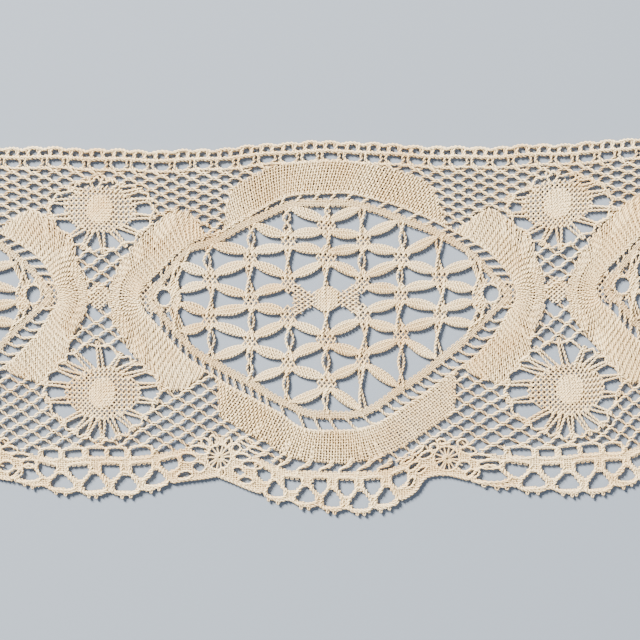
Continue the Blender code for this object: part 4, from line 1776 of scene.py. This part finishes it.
def cottonThread():
    look = threadColourAndPaintedShade
    material = bpy.data.materials.new("ecru cotton thread")
    material.use_nodes = True
    tree = material.node_tree
    tree.nodes.clear()
    place = addNode(tree, "ShaderNodeTexCoord").outputs["Object"]
    tone = addNode(tree, "ShaderNodeAttribute", {"attribute_name": "tone"}).outputs["Fac"]
    run = addNode(tree, "ShaderNodeAttribute", {"attribute_name": "run"}).outputs["Fac"]
    side = addNode(tree, "ShaderNodeAttribute", {"attribute_name": "side"}).outputs["Vector"]
    parts = addNode(tree, "ShaderNodeSeparateXYZ", links={0: side})
    across = {0: parts.outputs[1], 1: parts.outputs[0]}
    turn = addNode(tree, "ShaderNodeMath", {"operation": "ARCTAN2"}, links=across)
    perPitch = math.tau / look["plyPitch"]
    travel = addNode(tree, "ShaderNodeMath", {"operation": "MULTIPLY"}, {1: perPitch}, {0: run})
    twice = addNode(
        tree,
        "ShaderNodeMath",
        {"operation": "MULTIPLY_ADD"},
        {1: 2.0},
        {0: turn.outputs[0], 2: travel.outputs[0]},
    )
    wave = addNode(tree, "ShaderNodeMath", {"operation": "SINE"}, links={0: twice.outputs[0]})
    ply = addNode(
        tree,
        "ShaderNodeMapRange",
        values={1: -1.0, 2: 0.4, 3: 0.0, 4: 1.0},
        links={0: wave.outputs[0]},
    )
    patches = addNode(
        tree,
        "ShaderNodeTexNoise",
        values={"Scale": perMetre / look["patch"], "Detail": 3.0, "Roughness": 0.55},
        links={"Vector": place},
    )
    fibres = addNode(
        tree,
        "ShaderNodeTexNoise",
        values={"Scale": look["fibresPerMetre"], "Detail": 2.0, "Roughness": 0.6},
        links={"Vector": place},
    )
    ageing = addNode(
        tree,
        "ShaderNodeMapRange",
        values={1: look["patchFrom"], 2: look["patchTo"], 3: 0.0, 4: look["patchMost"]},
        links={0: patches.outputs[0]},
    )
    dyed = addNode(
        tree,
        "ShaderNodeMix",
        {"data_type": "RGBA"},
        {6: toLinear(look["body"]), 7: toLinear(look["pale"])},
        {0: tone},
    )
    aged = addNode(
        tree,
        "ShaderNodeMix",
        {"data_type": "RGBA"},
        {7: toLinear(look["aged"])},
        {0: ageing.outputs[0], 6: dyed.outputs[2]},
    )
    # Painted shade: the lower a thread lies, the more of the brown shade colour it takes, where shade falls
    # between threads.
    height = addNode(tree, "ShaderNodeSeparateXYZ", links={0: place})
    depth = addNode(
        tree,
        "ShaderNodeMapRange",
        values={1: look["deep"] * mm, 2: look["high"] * mm, 3: 1.0, 4: 0.0},
        links={0: height.outputs[2]},
    )
    # painted shade from height, less a painted highlight on each ply's ridge
    shade = addNode(
        tree,
        "ShaderNodeMath",
        {"operation": "MULTIPLY_ADD", "use_clamp": True},
        {1: -look["plyLight"]},
        {0: ply.outputs[0], 2: depth.outputs[0]},
    )
    shadedColour = addNode(
        tree,
        "ShaderNodeMix",
        {"data_type": "RGBA"},
        {7: toLinear(look["paintedShade"])},
        {0: shade.outputs[0], 6: aged.outputs[2]},
    )
    relief = addNode(
        tree,
        "ShaderNodeMath",
        {"operation": "MULTIPLY_ADD"},
        {1: 0.25},
        {0: fibres.outputs[0], 2: ply.outputs[0]},
    )
    bump = addNode(
        tree,
        "ShaderNodeBump",
        values={"Strength": 0.5, "Distance": look["relief"] * mm},
        links={"Height": relief.outputs[0]},
    )
    shader = addNode(
        tree,
        "ShaderNodeBsdfPrincipled",
        values={
            "Roughness": look["roughness"],
            "IOR": 1.53,
            "Sheen Weight": look["sheen"],
            "Sheen Roughness": 0.4,
        },
        links={"Base Color": shadedColour.outputs[2], "Normal": bump.outputs[0]},
    )
    addNode(tree, "ShaderNodeOutputMaterial", links={"Surface": shader.outputs[0]})
    return material


def threadTree(material):
    # spins every run of places into a thread; few sides are enough, because it is so fine
    tree = bpy.data.node_groups.new("spin threads", "GeometryNodeTree")
    sockets = tree.interface
    sockets.new_socket("Places", in_out="INPUT", socket_type="NodeSocketGeometry")
    radius = sockets.new_socket("Thread radius", in_out="INPUT", socket_type="NodeSocketFloat")
    sides = sockets.new_socket("Sides", in_out="INPUT", socket_type="NodeSocketInt")
    sockets.new_socket("Threads", in_out="OUTPUT", socket_type="NodeSocketGeometry")
    given = addNode(tree, "NodeGroupInput")
    curve = addNode(tree, "GeometryNodeMeshToCurve", links={0: given.outputs[0]})
    circle = addNode(
        tree,
        "GeometryNodeCurvePrimitiveCircle",
        links={"Resolution": given.outputs[2], "Radius": given.outputs[1]},
    )
    where = addNode(tree, "GeometryNodeInputPosition")
    scaled = addNode(
        tree,
        "ShaderNodeVectorMath",
        {"operation": "SCALE"},
        {"Scale": perMetre},
        {0: where.outputs[0]},
    )
    profile = addNode(
        tree,
        "GeometryNodeStoreNamedAttribute",
        {"data_type": "FLOAT_VECTOR", "domain": "POINT"},
        {"Name": "side"},
        {"Geometry": circle.outputs[0], "Value": scaled.outputs[0]},
    )
    thick = addNode(
        tree,
        "GeometryNodeInputNamedAttribute",
        {"data_type": "FLOAT"},
        {"Name": "thick"},
    )
    tube = addNode(
        tree,
        "GeometryNodeCurveToMesh",
        values={"Fill Caps": True},
        links={"Curve": curve.outputs[0], "Profile Curve": profile.outputs[0], "Scale": thick.outputs[0]},
    )
    smooth = addNode(tree, "GeometryNodeSetShadeSmooth", links={"Geometry": tube.outputs[0]})
    finish = addNode(
        tree,
        "GeometryNodeSetMaterial",
        values={"Material": material},
        links={"Geometry": smooth.outputs[0]},
    )
    real = addNode(tree, "GeometryNodeRealizeInstances", links={"Geometry": finish.outputs[0]})
    addNode(tree, "NodeGroupOutput", links={0: real.outputs[0]})
    return tree, radius.identifier, sides.identifier


cotton = cottonThread()
spinTree, radiusSocket, sidesSocket = threadTree(cotton)


def cutToLength(threads):
    # threads in their worked places, in metres, cut off at both ends of the piece
    limit = lace["length"] / 2 - lace["endRoom"]
    result = []
    for thread in threads:
        current = []
        tone = rng.uniform(*lace["tones"])
        for along, across, up in thread.places:
            x, y = worked(along, across)
            if abs(x) < limit:
                current.append((x * mm, (y - lace["middleAcross"]) * mm, (lace["level"] + up) * mm))
            elif current:
                result.append((current, thread.thick, tone))
                current = []
        result.append((current, thread.thick, tone))
    return [row for row in result if len(row[0]) > 1]


def makePiece(name, threads):
    rows = cutToLength(threads)
    verts = []
    edges = []
    thick = []
    tone = []
    run = []
    for places, size, shade in rows:
        travelled = rng.uniform(0.0, 2.0)
        for index, place in enumerate(places):
            if index:
                edges.append((len(verts) - 1, len(verts)))
                travelled += perMetre * math.dist(place, places[index - 1])
            verts.append(place)
            thick.append(size)
            tone.append(shade)
            run.append(travelled)
    mesh = bpy.data.meshes.new(name)
    mesh.from_pydata(verts, edges, [])
    for label, values in (("thick", thick), ("tone", tone), ("run", run)):
        mesh.attributes.new(label, "FLOAT", "POINT").data.foreach_set("value", values)
    piece = bpy.data.objects.new(name, mesh)
    bpy.context.scene.collection.objects.link(piece)
    spin = piece.modifiers.new("spin threads", "NODES")
    spin.node_group = spinTree
    spin[radiusSocket] = lace["thread"] * mm
    spin[sidesSocket] = lace["sides"]
    graph = bpy.context.evaluated_depsgraph_get()
    spun = bpy.data.meshes.new_from_object(
        piece.evaluated_get(graph),
        preserve_all_data_layers=True,
        depsgraph=graph,
    )
    piece.modifiers.remove(spin)
    piece.data = spun
    spun.name = name
    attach(piece, "root")
    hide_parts("lace")
    triangles = sum(len(face.vertices) - 2 for face in spun.polygons)
    print(name, len(rows), "threads", triangles, "triangles")
    return piece


made = [
    makePiece("cloth_trails", clothTrails() + touchingTrails()),
    makePiece("oval_rings", ovalRing()),
    makePiece("leaves", leaves(ovals)),
    makePiece("knots_and_plaits", knotsAndPlaits()),
    makePiece("spiders", spiderThreads()),
    makePiece("foot_ground", footGround()),
    makePiece("crossing_ground", crossingGround(upperNet) + crossingGround(lowerNet) + spiderEdges()),
    makePiece("head_ground", crossingGround(headNet)),
    makePiece("footside", footsideThreads()),
    makePiece("headside", headsideThreads()),
]
print("threads worked")

# Table top, light and camera. The camera looks straight down, as in the photo, and low light
# from the upper left draws the relief of the threads.
Light = namedtuple("Light", "name place size power colour")
studio = {
    "floor": "7F8A98",
    "floorHalf": 5.0,       # metres
    "lens": 85.0,
    "sensor": 36.0,
    "view": 166.4,          # millimetres of lace across the picture
    "centre": (-1.56, 1.22),
    "clip": 0.01,
    "sky": "E6EAF0",
    "skyStrength": 0.28,
    "lights": (
        Light("window", (-1.5, 1.65, 1.26), 0.66, 480.0, "FFF8EE"),
        Light("reflector", (1.2, -0.6, 1.4), 1.6, 20.0, "EEF3FF"),
    ),
}


def makeFloor():
    half = studio["floorHalf"]
    mesh = bpy.data.meshes.new("table")
    corners = [(-half, -half, 0.0), (half, -half, 0.0), (half, half, 0.0), (-half, half, 0.0)]
    mesh.from_pydata(corners, [], [(0, 1, 2, 3)])
    floor = bpy.data.objects.new("table", mesh)
    bpy.context.scene.collection.objects.link(floor)
    material = bpy.data.materials.new("matt painted board")
    material.use_nodes = True
    tree = material.node_tree
    tree.nodes.clear()
    place = addNode(tree, "ShaderNodeTexCoord").outputs["Object"]
    grain = addNode(
        tree,
        "ShaderNodeTexNoise",
        values={"Scale": 900.0, "Detail": 3.0},
        links={"Vector": place},
    )
    bump = addNode(
        tree,
        "ShaderNodeBump",
        values={"Strength": 0.05, "Distance": 0.0002},
        links={"Height": grain.outputs[0]},
    )
    shader = addNode(
        tree,
        "ShaderNodeBsdfPrincipled",
        values={"Base Color": toLinear(studio["floor"]), "Roughness": 0.9},
        links={"Normal": bump.outputs[0]},
    )
    addNode(tree, "ShaderNodeOutputMaterial", links={"Surface": shader.outputs[0]})
    mesh.materials.append(material)


def makeLight(given):
    data = bpy.data.lights.new(given.name, "AREA")
    data.size = given.size
    data.energy = given.power
    data.color = toLinear(given.colour)[:3]
    light = bpy.data.objects.new(given.name, data)
    light.location = given.place
    aim = -light.location.normalized()
    light.rotation_euler = aim.to_track_quat("-Z", "Y").to_euler()
    bpy.context.scene.collection.objects.link(light)


def makeCamera():
    data = bpy.data.cameras.new("over the lace")
    data.lens = studio["lens"]
    data.sensor_width = studio["sensor"]
    camera = bpy.data.objects.new("over the lace", data)
    distance = studio["view"] / studio["sensor"] * studio["lens"]
    x, y = studio["centre"]
    camera.location = (x * mm, y * mm, (distance + lace["level"]) * mm)
    data.clip_start = studio["clip"]
    bpy.context.scene.collection.objects.link(camera)
    bpy.context.scene.camera = camera


makeFloor()
for light in studio["lights"]:
    makeLight(light)
makeCamera()
world = bpy.data.worlds.new("studio")
world.use_nodes = True
sky = world.node_tree.nodes["Background"]
sky.inputs[0].default_value = toLinear(studio["sky"])
sky.inputs[1].default_value = studio["skyStrength"]
bpy.context.scene.world = world
print("studio set")
